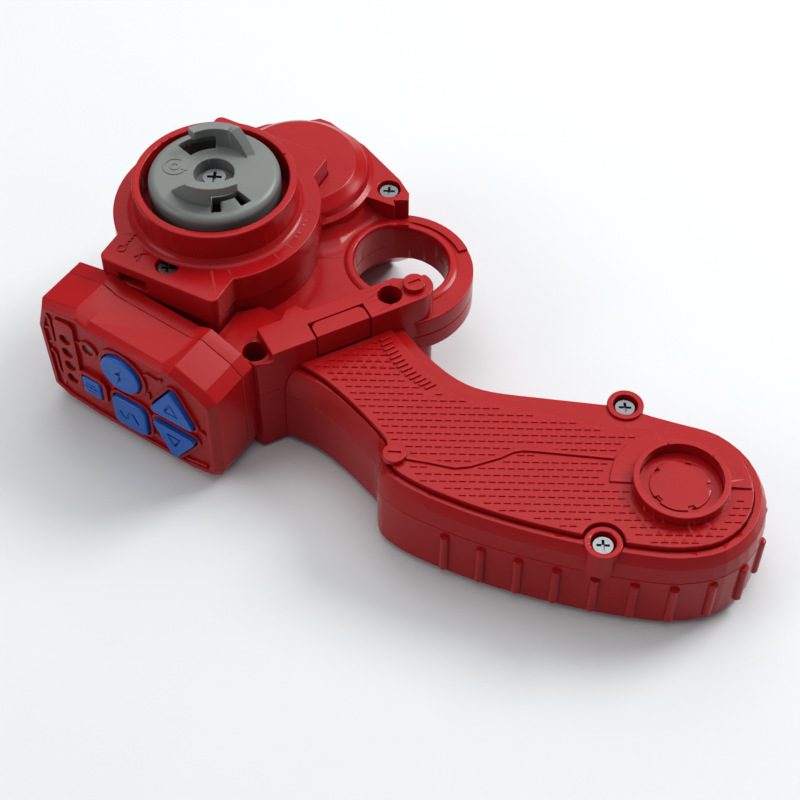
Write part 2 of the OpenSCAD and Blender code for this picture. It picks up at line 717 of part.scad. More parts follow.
module pod_front_case() color(red) pod_frame() difference() {
    union() {
        difference() {
            pod_loft([pod_ring(pod_bevel), pod_ring(0), pod_ring(0)], [0, pod_bevel_d, pod_front_d]);
            pod_loft([pod_ring(pod_wall + pod_bevel / 2), pod_ring(pod_wall), pod_ring(pod_wall)],
                [pod_wall + face_recess, pod_wall + pod_bevel_d, pod_front_d + over]);
        }
        slab(pod_wall, pod_wall + board_gap) for (p = board_post_shares) face_at(p)
            circle(r = board_post_r, $fn = fine_fn);
        pod_posts(pod_wall, pod_front_d);
    }
    pod_loft([pod_ring(pod_bevel + face_rim), pod_ring(pod_bevel + face_rim)], [-over, face_recess]);
    slab(-over, pod_wall + over) all_buttons(button_play);
    slab(-over, pod_wall + over) for (p = lamp_shares) face_at(p) circle(r = lamp_r, $fn = fine_fn);
    slab(pod_wall + board_gap - 2 * over, pod_wall + board_gap + over) for (p = board_post_shares) face_at(p)
        circle(r = board_screw_r + slip, $fn = fine_fn);
    slab(pod_front_d - screw_len, pod_front_d + over) for (p = pod_post_shares) face_at(p)
        circle(d = shank_d + 2 * slip, $fn = fine_fn);
}
pod_screw_seat = pod_d - board_screw_h - head_d * 0.38;
module pod_rear_case() color(red) pod_frame() difference() {
    translate([0, pod_front_d, 0]) pod_loft([pod_ring(0), pod_ring(0)], [0, pod_rear_d]);
    translate([0, pod_front_d, 0])
        pod_loft([pod_ring(pod_wall), pod_ring(pod_wall)], [-over, pod_rear_d - pod_wall]);
    slab(pod_front_d, pod_d + over) for (p = pod_post_shares) face_at(p)
        circle(d = shank_d + 4 * slip, $fn = fine_fn);
    slab(pod_screw_seat, pod_d + over) for (p = pod_post_shares) face_at(p)
        circle(d = head_d + 4 * slip, $fn = fine_fn);
}
module pod_screws() color(steel) pod_frame() for (p = pod_post_shares)
    translate([p[0] * pod_w, pod_screw_seat, p[1] * pod_h]) rotate([-90, 0, 0]) screw(screw_len * 0.6);

board_y = pod_wall + board_gap;
module button_board() color("seagreen") pod_frame() difference() {
    slab(board_y, board_y + board_h)
        translate([-pod_w * board_share[0] / 2, pod_h * board_low_share])
            square([pod_w * board_share[0], pod_h * board_share[1]]);
    slab(board_y - over, board_y + board_h + over) for (p = board_post_shares) face_at(p)
        circle(r = board_screw_r + 2 * slip, $fn = fine_fn);
}
module board_screws() color(steel) pod_frame() for (p = board_post_shares)
    translate([p[0] * pod_w, board_y + board_h, p[1] * pod_h]) rotate([-90, 0, 0])
        screw(board_h + over, 2 * board_screw_r, 4 * board_screw_r);
module button_switches() color("black") pod_frame()
    for (p = [round_share, square_share, mode_share, up_arrow_share, down_arrow_share]) {
        slab(board_y - switch_h, board_y) face_at(p) square(switch_w, center = true);
        slab(button_foot + button_travel + slip, board_y - switch_h) face_at(p)
            circle(r = plunger_r, $fn = fine_fn);
    }
module indicator_lamps() color("ivory") pod_frame()
    slab(lamp_set, board_y) for (p = lamp_shares) face_at(p) circle(r = lamp_r - slip, $fn = fine_fn);

button_foot = pod_wall + face_recess + flange_h + slip;
module push_button(kind, share, turn = 0) color(blue) pod_frame() {
    inside = pod_wall + face_recess + slip;
    slab(face_recess - button_proud, inside) face_at(share) rotate(turn) button_plan(kind);
    slab(inside, button_foot) face_at(share) rotate(turn) button_plan(kind, flange_w);
}
module round_button() push_button("round", round_share);
module square_button() push_button("square", square_share);
module mode_button() push_button("mode", mode_share);
module upper_arrow_button() push_button("arrow", up_arrow_share);
module lower_arrow_button() push_button("arrow", down_arrow_share, 180);

// Grip
grip_top = rim_z + plate_proud;
inlay_z = rim_z - inlay_depth;
end_at = [end_share[0] * grip_len, end_share[1] * grip_span];
function on_grip(share) = [share[0] * grip_len, share[1] * grip_span];
module at_bosses() { for (s = [boss_share, boss2_share]) translate(on_grip(s)) children(); }
module cell_frame() {
    translate(on_grip(cell_share)) rotate(cell_turn) children();
}
bay_l = cell_l + 2 * contact_gap + 2 * contact_h;
bay_w = cell_count * (cell_d + cell_gap) + cell_gap;
module grip_room(less, from, to) {
    translate([0, 0, from]) linear_extrude(to - from) polygon(inner(inset(seam_outline, less), end_wall_n));
}
module grip_lower_shell() color(red) difference() {
    grip_frame() grip_lower_shell_solid();
    bar_side();
}
module grip_lower_shell_solid() difference() {
    union() {
        loft([inset(seam_outline, foot_r), seam_outline, seam_outline], [0, foot_r, grip_seam_z]);
        ribs();
    }
    difference() {
        grip_room(grip_wall, floor_h, grip_seam_z + over);
        at_bosses() cylinder(r = grip_post_r, h = grip_seam_z, $fn = fine_fn);
        cell_frame() translate([-grip_wall, -grip_wall, 0]) difference() {
            cube([bay_l + 2 * grip_wall, bay_w + 2 * grip_wall, grip_seam_z * 0.6]);
            translate([grip_wall, grip_wall, -over]) cube([bay_l, bay_w, grip_seam_z]);
        }
    }
    cell_frame() translate([-door_play, -door_play, -over])
        cube([bay_l + 2 * door_play, bay_w + 2 * door_play, door_h + over]);
    cell_frame() translate([0, 0, -over]) cube([bay_l, bay_w, floor_h + 2 * over]);
    cell_frame() translate([bay_l, bay_w / 2, 0]) {
        translate([0, -door_tab, -over]) cube([2 * door_tab, 2 * door_tab, door_h + over]);
    }
    cell_frame() translate([bay_l + door_tab, bay_w / 2, 0])
        cylinder(d = shank_d + 2 * slip, h = screw_len * 0.7, $fn = fine_fn);
    at_bosses() pilot_hole(grip_seat, screw_long);
}
grip_seat = rim_z - 2.5 * over;
// Ribs along the front of the grip, evenly spaced by length along the outline
seam_n = len(seam_outline);
function run_length(i) = i == 0 ? 0 : run_length(i - 1) + norm(seam_outline[i] - seam_outline[i - 1]);
lengths = [for (i = [0:seam_n - 1]) run_length(i)];
function point_at(l, i = 1) = i >= seam_n - 1 || lengths[i] > l
    ? let (share = (l - lengths[i - 1]) / (lengths[i] - lengths[i - 1]))
        seam_outline[i - 1] + (seam_outline[i] - seam_outline[i - 1]) * share
    : point_at(l, i + 1);
module ribs() {
    total = lengths[seam_n - 1];
    count = floor(total * (rib_last_share - rib_first_share) / rib_pitch);
    for (i = [0:count]) translate(point_at(total * rib_first_share + i * rib_pitch))
        translate([0, 0, rib_low])
            cylinder(r = rib_r, h = grip_seam_z - rib_top_gap - rib_low, $fn = fine_fn);
}
module grip_upper_shell() color(red) difference() {
    grip_frame() grip_upper_shell_solid();
    bar_side();
}
module grip_upper_shell_solid() difference() {
    union() {
        loft([seam_outline, inset(seam_outline, bevel_w * rim_in_share), inset(seam_outline, bevel_w)],
            [grip_seam_z, grip_seam_z + (rim_z - grip_seam_z) * rim_mid_share, rim_z]);
        at_bosses() translate([0, 0, grip_seam_z]) rotate(seam_turn)
            cylinder(r = screw_boss_r, h = rim_z - grip_seam_z + screw_boss_h, $fn = 32);
    }
    difference() {
        grip_room(grip_wall + bevel_w / 2, grip_seam_z - over, inlay_z - grip_wall);
        at_bosses() translate([0, 0, grip_seam_z]) cylinder(r = grip_post_r, h = rim_z, $fn = fine_fn);
    }
    difference() {
        translate([0, 0, inlay_z]) linear_extrude(rim_z) polygon(inset(inlay_outline, -inlay_gap));
        translate(on_grip(boss2_share)) cylinder(r = screw_boss_r + run, h = hub_top, $fn = 32);
    }
    at_bosses() screw_hole(grip_seat, rim_z + screw_boss_h, screw_long);
    translate([end_at[0], end_at[1], 0]) cylinder(r = boss_r - boss_wall, h = hub_top);
}
module grip_plate() color(red) difference() {
    grip_frame() grip_plate_solid();
    bar_side();
}
module grip_plate_solid() difference() {
    union() {
        translate([0, 0, inlay_z]) linear_extrude(grip_top - inlay_z) polygon(inlay_outline);
        translate([end_at[0], end_at[1], inlay_z]) {
            cylinder(r = boss_r, h = grip_top - inlay_z + boss_h);
            sector(boss_r - boss_wall, end_r * sector_share, 0, 180, grip_top - inlay_z + sector_h);
        }
    }
    translate([end_at[0], end_at[1], inlay_z - over]) cylinder(r = boss_r - boss_wall, h = hub_top);
    at_bosses() cylinder(r = screw_boss_r + 2 * run, h = hub_top, $fn = 32);
}
medal_h = 2.4;
medal_groove = 0.6;
medal_deep = 0.5;
medal_z = inlay_z - grip_wall;
module medallion() color(red) grip_frame() translate([end_at[0], end_at[1], medal_z]) difference() {
    cylinder(r = boss_r - boss_wall - slip, h = grip_top - inlay_z + grip_wall);
    for (i = [0:3]) rotate(90 * i + 20) translate([0, 0, grip_top - inlay_z + grip_wall - medal_deep])
        sector(boss_r * 0.58, boss_r * 0.58 + medal_groove, 0, 58, 2 * medal_deep);
}
module slotted_cap() difference() {
    cylinder(r = cap_r, h = cap_h);
    translate([-cap_r * 0.55, -cap_slot / 2, cap_h - cap_slot / 2]) cube([cap_r * 1.1, cap_slot, cap_slot]);
}
module slotted_caps() color(red) {
    bar_frame() translate([0, 0, deck_z + bar_h]) slotted_cap();
    grip_frame() translate([on_grip(cap_share)[0], on_grip(cap_share)[1], grip_top]) slotted_cap();
}

module battery_door() color(red) grip_frame() cell_frame() difference() {
    union() {
        cube([bay_l, bay_w, door_h]);
        translate([bay_l - over, bay_w / 2 - door_tab + door_play, 0])
            cube([2 * door_tab + over - door_play, 2 * door_tab - 2 * door_play, door_h]);
    }
    translate([bay_l + door_tab, bay_w / 2, -over]) {
        cylinder(d = shank_d + 4 * slip, h = door_h + 2 * over, $fn = fine_fn);
        cylinder(d = head_d + 4 * slip, h = over + door_h * 0.6, $fn = fine_fn);
    }
    for (i = [0:3]) translate([door_margin + i * door_margin * 0.7, bay_w * 0.2, -over])
        cube([door_margin * 0.3, bay_w * 0.6, over + door_h * 0.25]);
}
module door_screw() color(steel) grip_frame() cell_frame()
    translate([bay_l + door_tab, bay_w / 2, door_h * 0.6]) mirror([0, 0, 1])
        screw(screw_len * 0.6 - door_h, shank_d, head_d);
module battery_cells() color("darkgoldenrod") grip_frame() cell_frame()
    translate([contact_h + contact_gap, cell_gap + cell_d / 2, door_h + cell_d / 2 + slip])
        for (i = [0:cell_count - 1]) translate([0, i * (cell_d + cell_gap), 0]) rotate([0, 90, 0]) {
            cylinder(d = cell_d, h = cell_l - over);
            cylinder(d = cell_d * 0.35, h = cell_l, $fn = fine_fn);
        }
module battery_contacts() color(steel) grip_frame() cell_frame()
    for (x = [0, bay_l - contact_h], i = [0:cell_count - 1])
        translate([x, cell_gap + i * (cell_d + cell_gap) + cell_d * 0.15, door_h + cell_gap])
            cube([contact_h, cell_d * 0.7, cell_d * 0.9]);

// Spring-loaded latch pad between the two halves of the bar
latch_low = deck_z + bar_h - latch_depth;
pad_w = latch_w - run;
module grip_latch() color(red) bar_frame()
    translate([-bar_len * latch_at_share - latch_l / 2, run - bar_w / 2, latch_low])
        linear_extrude(latch_depth) translate([latch_l / 2, pad_w / 2]) {
            square([latch_l - 2 * corner_r, pad_w], center = true);
            translate([0, -corner_r / 2]) square([latch_l, pad_w - corner_r], center = true);
            for (x = [-1, 1]) translate([x * (latch_l / 2 - corner_r), pad_w / 2 - corner_r])
                circle(r = corner_r, $fn = fine_fn);
        }
module latch_spring() color(steel) bar_frame()
    translate([-bar_len * latch_at_share, -bar_w / 2 + latch_w / 2, latch_low - latch_h])
        coil(latch_w * 0.3, spring_wire, 5, latch_h - latch_travel - slip);

module case_screws() color(steel) {
    translate([place_a[0], place_a[1], seat_a]) screw(screw_len);
    translate([place_b[0], place_b[1], seat_deep]) screw(screw_len);
    translate([place_c[0], place_c[1], seat_deep]) screw(screw_len);
    translate([place_d[0], place_d[1], seat_d]) screw(screw_long);
}
module grip_screws() color(steel) grip_frame() at_bosses() translate([0, 0, grip_seat]) screw(screw_len);

lower_casing();
upper_casing();
launch_tower();
pod_front_case();
pod_rear_case();
grip_lower_shell();
grip_upper_shell();
grip_plate();
medallion();
slotted_caps();
battery_door();
battery_cells();
battery_contacts();
door_screw();
case_screws();
grip_screws();
pod_screws();
board_screws();
button_board();
button_switches();
indicator_lamps();
bearing_plate();
cord_guide();
lower_bush();
upper_bush();
clutch_spring();
latch_spring();
launch_hub();
hub_screw();
hub_spindle();
clutch_disc();
drive_pinion();
round_button();
square_button();
mode_button();
upper_arrow_button();
lower_arrow_button();
grip_latch();
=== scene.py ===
# %% [markdown]
# # A rip-cord launcher for spinning tops
# The frame holds the rigid model of the launcher, packed from its CAD source: the casings, the
# hub, the button pod, the grip and their inner pieces. This notebook dresses it. Lengths are in
# metres, +X runs along the grip, +Y away from the buttons and +Z up through the hub.

# %% The frame
import json
import math

import bpy
from mathutils import Matrix, Vector
from mathutils.bvhtree import BVHTree
from mathutils.geometry import convex_hull_2d


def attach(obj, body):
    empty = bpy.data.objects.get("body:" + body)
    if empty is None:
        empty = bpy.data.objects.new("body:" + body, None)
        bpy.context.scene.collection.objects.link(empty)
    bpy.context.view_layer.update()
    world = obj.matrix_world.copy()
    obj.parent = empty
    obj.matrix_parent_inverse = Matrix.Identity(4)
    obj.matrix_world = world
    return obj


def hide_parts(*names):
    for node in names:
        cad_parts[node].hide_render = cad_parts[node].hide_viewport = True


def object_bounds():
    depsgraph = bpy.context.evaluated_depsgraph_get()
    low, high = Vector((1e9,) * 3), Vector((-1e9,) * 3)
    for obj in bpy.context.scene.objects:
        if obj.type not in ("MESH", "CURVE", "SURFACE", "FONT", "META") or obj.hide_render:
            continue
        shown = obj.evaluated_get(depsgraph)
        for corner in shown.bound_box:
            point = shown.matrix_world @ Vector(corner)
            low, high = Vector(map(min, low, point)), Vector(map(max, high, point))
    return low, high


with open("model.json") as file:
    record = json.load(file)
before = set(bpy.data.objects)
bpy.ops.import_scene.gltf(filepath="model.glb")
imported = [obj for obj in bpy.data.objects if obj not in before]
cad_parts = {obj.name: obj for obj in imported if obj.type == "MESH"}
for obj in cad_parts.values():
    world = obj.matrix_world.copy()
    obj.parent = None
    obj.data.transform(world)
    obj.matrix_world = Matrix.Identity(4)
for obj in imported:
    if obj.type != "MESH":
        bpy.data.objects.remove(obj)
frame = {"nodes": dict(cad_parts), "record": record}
cad_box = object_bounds()
nodes = frame["nodes"]
MM = 0.001
print("CAD box", cad_box)

# %% [markdown]
# ## The camera
# The photograph looks down at 51.5 degrees from the left of the grip. The camera's own axes are
# written as three columns: to its right, up, and back towards the viewer.

# %% Camera
camera = bpy.data.objects.new("camera", bpy.data.cameras.new("camera"))
bpy.context.scene.collection.objects.link(camera)
camera_right = Vector((0.99841, 0.05608, 0.00575))
camera_up = Vector((-0.04749, 0.78162, 0.62194))
camera_back = Vector((0.03038, -0.62123, 0.78304))
camera.matrix_world = Matrix((camera_right, camera_up, camera_back)).transposed().to_4x4()
camera.location = (0.06743, -0.33871, 0.391)
camera.data.sensor_width = 36
camera.data.lens = 78.75
bpy.context.scene.camera = camera
print("camera at", tuple(camera.location))

# %% [markdown]
# ## Light
# The photograph has the even light of a small studio, on a bright pale table. The key lamp stands
# behind the object to the right and draws the soft highlights along the moulded edges. A wide lamp
# overhead and a panel at the back light the top faces, a weak lamp on the left opens the shadows,
# and the world's pale grey does the rest. The view's look has a little more contrast than plain,
# because the sides of the real toy fall off to a deep red.

# %% Floor and lamps
def deselect():
    if bpy.context.object and bpy.context.object.mode != "OBJECT":
        bpy.ops.object.mode_set(mode="OBJECT")
    bpy.ops.object.select_all(action="DESELECT")


def only(*objects):
    deselect()
    for o in objects:
        o.select_set(True)
    bpy.context.view_layer.objects.active = objects[0]


deselect()
bpy.ops.mesh.primitive_plane_add(size=6, location=(0, 0, cad_box[0][2] - 0.0002))
floor = bpy.context.object
floor.name = "floor"


def area_lamp(name, place, aim, size, watts, tint=(1, 1, 1)):
    data = bpy.data.lights.new(name, "AREA")
    data.shape, data.size, data.energy, data.color = "DISK", size, watts, tint
    lamp = bpy.data.objects.new(name, data)
    bpy.context.scene.collection.objects.link(lamp)
    lamp.location = place
    lamp.rotation_euler = (Vector(aim) - Vector(place)).to_track_quat("-Z", "Y").to_euler()
    return lamp


area_lamp("key_lamp", (0.75, 0.45, 0.8), (0.05, -0.03, 0), 0.5, 8)
area_lamp("top_lamp", (0.05, 0.1, 1.25), (0.05, -0.03, 0), 1.4, 6.6)
area_lamp("back_panel", (0.1, 0.85, 1.1), (0.05, -0.03, 0), 1.4, 5.2)
area_lamp("fill_lamp", (-0.9, -0.35, 0.6), (0.02, -0.03, 0), 0.7, 2.9)
world = bpy.data.worlds.new("studio")
world.use_nodes = True
world.node_tree.nodes["Background"].inputs["Color"].default_value = (0.93, 0.96, 1, 1)
world.node_tree.nodes["Background"].inputs["Strength"].default_value = 0.31
bpy.context.scene.world = world
bpy.context.scene.view_settings.view_transform = "Standard"
bpy.context.scene.view_settings.look = "Medium High Contrast"

# %% [markdown]
# ## Finishes
# Injection-moulded plastic is never one flat colour. Its skin has a very fine spark-eroded
# grain, flows of slightly lighter and darker pigment, edges that handling has polished, and a
# little dust in its hollows. The grain, the pigment and the worn edges are one node group, placed
# in each material with its own values. The shader's plain numbers, such as its specular level, stay on the
# shader.

# %% Node helpers
def add_node(tree, kind, **values):
    node = tree.nodes.new(kind)
    for key, value in values.items():
        if key.startswith("in_"):
            node.inputs[key[3:].replace("_", " ")].default_value = value
        else:
            setattr(node, key, value)
    return node


def new_group(name, inputs, outputs):
    group = bpy.data.node_groups.new(name, "ShaderNodeTree")
    for label, kind, value in inputs:
        socket = group.interface.new_socket(label, in_out="INPUT", socket_type="NodeSocket" + kind)
        socket.default_value = value
    for label, kind in outputs:
        group.interface.new_socket(label, in_out="OUTPUT", socket_type="NodeSocket" + kind)
    return group, group.nodes.new("NodeGroupInput"), group.nodes.new("NodeGroupOutput")


# %% Moulded skin group
def moulded_skin():
    group, given, out = new_group("moulded skin", [
        ("Colour", "Color", (0.5, 0.02, 0.02, 1)), ("Worn", "Color", (0.7, 0.1, 0.1, 1)),
        ("Flow", "Float", 0.06), ("Wear", "Float", 0.3), ("Grain Size", "Float", 2600),
        ("Grain", "Float", 0.25), ("Roughness", "Float", 0.34)],
        [("Colour", "Color"), ("Roughness", "Float"), ("Normal", "Vector")])
    link = group.links.new
    place = add_node(group, "ShaderNodeTexCoord")
    flow = add_node(group, "ShaderNodeTexNoise", in_Scale=38, in_Detail=4, in_Roughness=0.6)
    link(place.outputs["Object"], flow.inputs["Vector"])
    grain = add_node(group, "ShaderNodeTexNoise", in_Detail=3, in_Roughness=0.65)
    link(place.outputs["Object"], grain.inputs["Vector"])
    link(given.outputs["Grain Size"], grain.inputs["Scale"])
    smear = add_node(group, "ShaderNodeTexNoise", in_Scale=170, in_Detail=5, in_Roughness=0.7)
    link(place.outputs["Object"], smear.inputs["Vector"])

    shade = add_node(group, "ShaderNodeMapRange", clamp=True)
    link(flow.outputs["Fac"], shade.inputs["Value"])
    shade.inputs["To Min"].default_value = 1
    dark = add_node(group, "ShaderNodeMath", operation="SUBTRACT", in_Value=1)
    link(given.outputs["Flow"], dark.inputs[1])
    link(dark.outputs["Value"], shade.inputs["To Max"])
    tint = add_node(group, "ShaderNodeVectorMath", operation="SCALE")
    link(given.outputs["Colour"], tint.inputs["Vector"])
    link(shade.outputs["Result"], tint.inputs["Scale"])

    edge = add_node(group, "ShaderNodeNewGeometry")
    ridge = add_node(group, "ShaderNodeMapRange", clamp=True)
    ridge.inputs["From Min"].default_value, ridge.inputs["From Max"].default_value = 0.515, 0.60
    link(edge.outputs["Pointiness"], ridge.inputs["Value"])
    broken = add_node(group, "ShaderNodeMath", operation="MULTIPLY")
    link(ridge.outputs["Result"], broken.inputs[0])
    link(smear.outputs["Fac"], broken.inputs[1])
    amount = add_node(group, "ShaderNodeMath", operation="MULTIPLY")
    link(broken.outputs["Value"], amount.inputs[0])
    link(given.outputs["Wear"], amount.inputs[1])
    worn = add_node(group, "ShaderNodeMix", data_type="RGBA")
    link(amount.outputs["Value"], worn.inputs["Factor"])
    link(tint.outputs["Vector"], worn.inputs[6])
    link(given.outputs["Worn"], worn.inputs[7])
    link(worn.outputs[2], out.inputs["Colour"])

    rough = add_node(group, "ShaderNodeMapRange", clamp=True)
    rough.inputs["To Min"].default_value, rough.inputs["To Max"].default_value = 0.86, 1.18
    link(smear.outputs["Fac"], rough.inputs["Value"])
    scaled = add_node(group, "ShaderNodeMath", operation="MULTIPLY")
    link(rough.outputs["Result"], scaled.inputs[0])
    link(given.outputs["Roughness"], scaled.inputs[1])
    link(scaled.outputs["Value"], out.inputs["Roughness"])

    bump = add_node(group, "ShaderNodeBump", in_Distance=0.00004)
    link(given.outputs["Grain"], bump.inputs["Strength"])
    link(grain.outputs["Fac"], bump.inputs["Height"])
    link(bump.outputs["Normal"], out.inputs["Normal"])
    return group


skin_group = moulded_skin()
print("group", skin_group.name, len(skin_group.nodes), "nodes")


# %% Moulded plastics
def moulded(name, colour, worn, roughness, specular=0.5, **values):
    material = bpy.data.materials.new(name)
    material.use_nodes = True
    tree = material.node_tree
    shader = tree.nodes["Principled BSDF"]
    skin = tree.nodes.new("ShaderNodeGroup")
    skin.node_tree = skin_group
    skin.inputs["Colour"].default_value = (*colour, 1)
    skin.inputs["Worn"].default_value = (*worn, 1)
    skin.inputs["Roughness"].default_value = roughness
    for key, value in values.items():
        skin.inputs[key.replace("_", " ")].default_value = value
    tree.links.new(skin.outputs["Colour"], shader.inputs["Base Color"])
    tree.links.new(skin.outputs["Roughness"], shader.inputs["Roughness"])
    tree.links.new(skin.outputs["Normal"], shader.inputs["Normal"])
    shader.inputs["Specular IOR Level"].default_value = specular
    return material


red = moulded("red plastic", (0.33, 0.008, 0.010), (0.45, 0.04, 0.04), 0.22, 0.24)
hub_grey = moulded("grey plastic", (0.160, 0.170, 0.160), (0.30, 0.30, 0.29), 0.40, Grain=0.35)
blue = moulded("blue plastic", (0.008, 0.10, 0.40), (0.05, 0.2, 0.55), 0.3)
natural = moulded("natural plastic", (0.62, 0.58, 0.48), (0.7, 0.66, 0.56), 0.45)
black = moulded("black plastic", (0.02, 0.02, 0.02), (0.05, 0.05, 0.05), 0.45)
board_green = moulded("board laminate", (0.01, 0.12, 0.05), (0.02, 0.2, 0.09), 0.4, Grain_Size=900)
cell_wrap = moulded("cell wrap", (0.16, 0.12, 0.06), (0.3, 0.24, 0.12), 0.3, Grain=0.05)
lamp_clear = moulded("lamp dome", (0.16, 0.14, 0.13), (0.3, 0.3, 0.28), 0.12, Grain=0.02)
floor_paper = moulded("table top", (0.62, 0.64, 0.645), (0.9, 0.9, 0.9), 0.7, 0.2, Flow=0.03, Grain_Size=500)
floor.data.materials.append(floor_paper)


# %% Metals
def metal(name, colour, roughness, streak):
    material = bpy.data.materials.new(name)
    material.use_nodes = True
    tree = material.node_tree
    shader = tree.nodes["Principled BSDF"]
    shader.inputs["Metallic"].default_value = 1
    place = add_node(tree, "ShaderNodeTexCoord")
    noise = add_node(tree, "ShaderNodeTexNoise", in_Scale=streak, in_Detail=4, in_Roughness=0.7)
    tree.links.new(place.outputs["Object"], noise.inputs["Vector"])
    ramp = add_node(tree, "ShaderNodeMix", data_type="RGBA")
    ramp.inputs[6].default_value = (*colour, 1)
    ramp.inputs[7].default_value = (*(0.62 * c for c in colour), 1)
    tree.links.new(noise.outputs["Fac"], ramp.inputs["Factor"])
    tree.links.new(ramp.outputs[2], shader.inputs["Base Color"])
    rough = add_node(tree, "ShaderNodeMapRange")
    rough.inputs["To Min"].default_value = roughness * 0.7
    rough.inputs["To Max"].default_value = roughness * 1.4
    tree.links.new(noise.outputs["Fac"], rough.inputs["Value"])
    tree.links.new(rough.outputs["Result"], shader.inputs["Roughness"])
    bump = add_node(tree, "ShaderNodeBump", in_Distance=0.00002, in_Strength=0.4)
    tree.links.new(noise.outputs["Fac"], bump.inputs["Height"])
    tree.links.new(bump.outputs["Normal"], shader.inputs["Normal"])
    return material


zinc = metal("zinc plate", (0.24, 0.25, 0.26), 0.2, 1400)
bronze = metal("sintered bronze", (0.55, 0.36, 0.16), 0.45, 2600)
finishes = {"red_plastic": red, "grey_plastic": hub_grey, "blue_plastic": blue, "natural_plastic": natural,
            "steel": zinc, "bronze": bronze, "board": board_green, "black_plastic": black,
            "lamp": lamp_clear, "cell": cell_wrap}
for row in frame["record"]["subparts"]:
    node = nodes[row["node"]]
    node.data.materials.clear()
    node.data.materials.append(finishes[row["material_slot"]])
print(len(finishes), "finishes on", len(nodes), "nodes")

# %% [markdown]
# ## Mouldings with soft edges
# A mould's edges are never quite sharp: the cutter leaves a radius, and it shows as a thin line
# of light along each edge. Each outer moulding starts as a copy of its CAD solid. Its loose
# triangles are merged and its flat faces are made whole again, so that a bevel has clean edges to
# round. Where a boolean cuts the copy, Blender gives the same points in another order on each run.
# What comes after it depends on the order, so the points, edges and faces are sorted by their
# distance from one far point, and the corners of each face start from the lowest point.

# %% Merged copies
body_of_node = {n: body for body, names in frame["record"]["behaviour"]["bodies"].items() for n in names}
slot_of_node = {row["node"]: row["material_slot"] for row in frame["record"]["subparts"]}
far_point = (0.31, 0.17, 0.23)
merge_reach = 0.000002


def merged_copy(node, name, cutters=()):
    source = nodes[node]
    piece = source.copy()
    piece.data = source.data.copy()
    piece.name = piece.data.name = name
    piece.parent = None
    piece.matrix_world = Matrix()
    bpy.context.scene.collection.objects.link(piece)
    only(piece)
    bpy.ops.object.mode_set(mode="EDIT")
    bpy.ops.mesh.select_all(action="SELECT")
    bpy.ops.mesh.remove_doubles(threshold=0.000004)
    bpy.ops.object.mode_set(mode="OBJECT")
    if cutters:
        engraved(piece, cutters)
        only(piece)
    bpy.ops.object.mode_set(mode="EDIT")
    bpy.ops.mesh.select_all(action="SELECT")
    bpy.ops.mesh.dissolve_limited(angle_limit=math.radians(0.6))
    bpy.ops.object.mode_set(mode="OBJECT")
    return piece


def put_in_order(piece):
    cursor = bpy.context.scene.cursor
    cursor.location = far_point
    only(piece)
    bpy.ops.object.mode_set(mode="EDIT")
    bpy.ops.mesh.select_all(action="SELECT")
    bpy.ops.mesh.sort_elements(type="CURSOR_DISTANCE", elements={"VERT", "EDGE", "FACE"})
    bpy.ops.mesh.remove_doubles(threshold=merge_reach)
    bpy.ops.object.mode_set(mode="OBJECT")
    cursor.location = (0, 0, 0)
    loops = piece.data.loops
    for face in piece.data.polygons:
        corners = [(loops[k].vertex_index, loops[k].edge_index) for k in face.loop_indices]
        first = corners.index(min(corners))
        for k, corner in zip(face.loop_indices, corners[first:] + corners[:first]):
            loops[k].vertex_index, loops[k].edge_index = corner


def apply_modifiers(piece):
    only(piece)
    for modifier in list(piece.modifiers):
        bpy.ops.object.modifier_apply(modifier=modifier.name)


# %% [markdown]
# ## Which edges to round
# An edge is rounded where it stands out and its faces meet at a clear angle, and between two
# broad faces a small angle is enough. An inner corner stays sharp. Where another edge of the same
# face runs close by, there is less room, and the width is a share of that room.

# %% Edges and their room
def creases(mesh, sharp=28, crease=9, broad=12):
    sides = {}
    for polygon in mesh.polygons:
        for key in polygon.edge_keys:
            sides.setdefault(key, []).append(polygon)
    outer, inner = {}, []
    for edge in mesh.edges:
        pair = sides.get(edge.key, ())
        if len(pair) == 2:
            bend = math.degrees(pair[0].normal.angle(pair[1].normal, 0))
            if bend > sharp or (bend > crease and min(pair[0].area, pair[1].area) > broad * MM * MM):
                a, b = (mesh.vertices[v].co for v in edge.vertices)
                if (pair[1].center - pair[0].center).dot(pair[0].normal) > 0:
                    inner.append(edge.index)
                else:
                    outer[edge.key] = (edge.index, (a + b) / 2, (b - a).normalized(), pair)
    return outer, inner


def room_beside(chosen):
    room = {}
    on_face = {}
    for key, (_, _, _, pair) in chosen.items():
        for polygon in pair:
            on_face.setdefault(polygon.index, []).append(key)
    for keys in on_face.values():
        for key in keys:
            _, middle, along, _ = chosen[key]
            for other in keys:
                gap = chosen[other][1] - middle
                if gap.length > 0 and abs(gap.dot(along)) < 0.75 * gap.length and not set(key) & set(other):
                    room[key] = min(room.get(key, 1), gap.length)
    return room


# %% [markdown]
# ## Rounding without folds
# A bevel folds over where many edges meet, as at the foot of a screw boss. After each try the
# faces that point back into the moulding or stand out of it are found. The edges near them get a
# narrower bevel, or none, and the rounding starts again from the blank. Weighted normals then
# keep the broad faces flat to the eye, while the thin rounds between them stay smooth.

# %% Rounded edges
def rounded_once(piece, blank, widths, inner, width, segments):
    piece.data = blank.copy()
    mesh = piece.data
    layer = mesh.attributes.new("bevel_weight_edge", "FLOAT", "EDGE")
    for index, share in widths.items():
        layer.data[index].value = share
    for index in inner + [index for index, share in widths.items() if share == 0]:
        mesh.edges[index].use_edge_sharp = True
    for polygon in mesh.polygons:
        polygon.use_smooth = True
    modifier = piece.modifiers.new("edges", "BEVEL")
    modifier.width, modifier.segments, modifier.limit_method = width, segments, "WEIGHT"
    modifier.offset_type, modifier.loop_slide, modifier.use_clamp_overlap = "WIDTH", False, False
    apply_modifiers(piece)


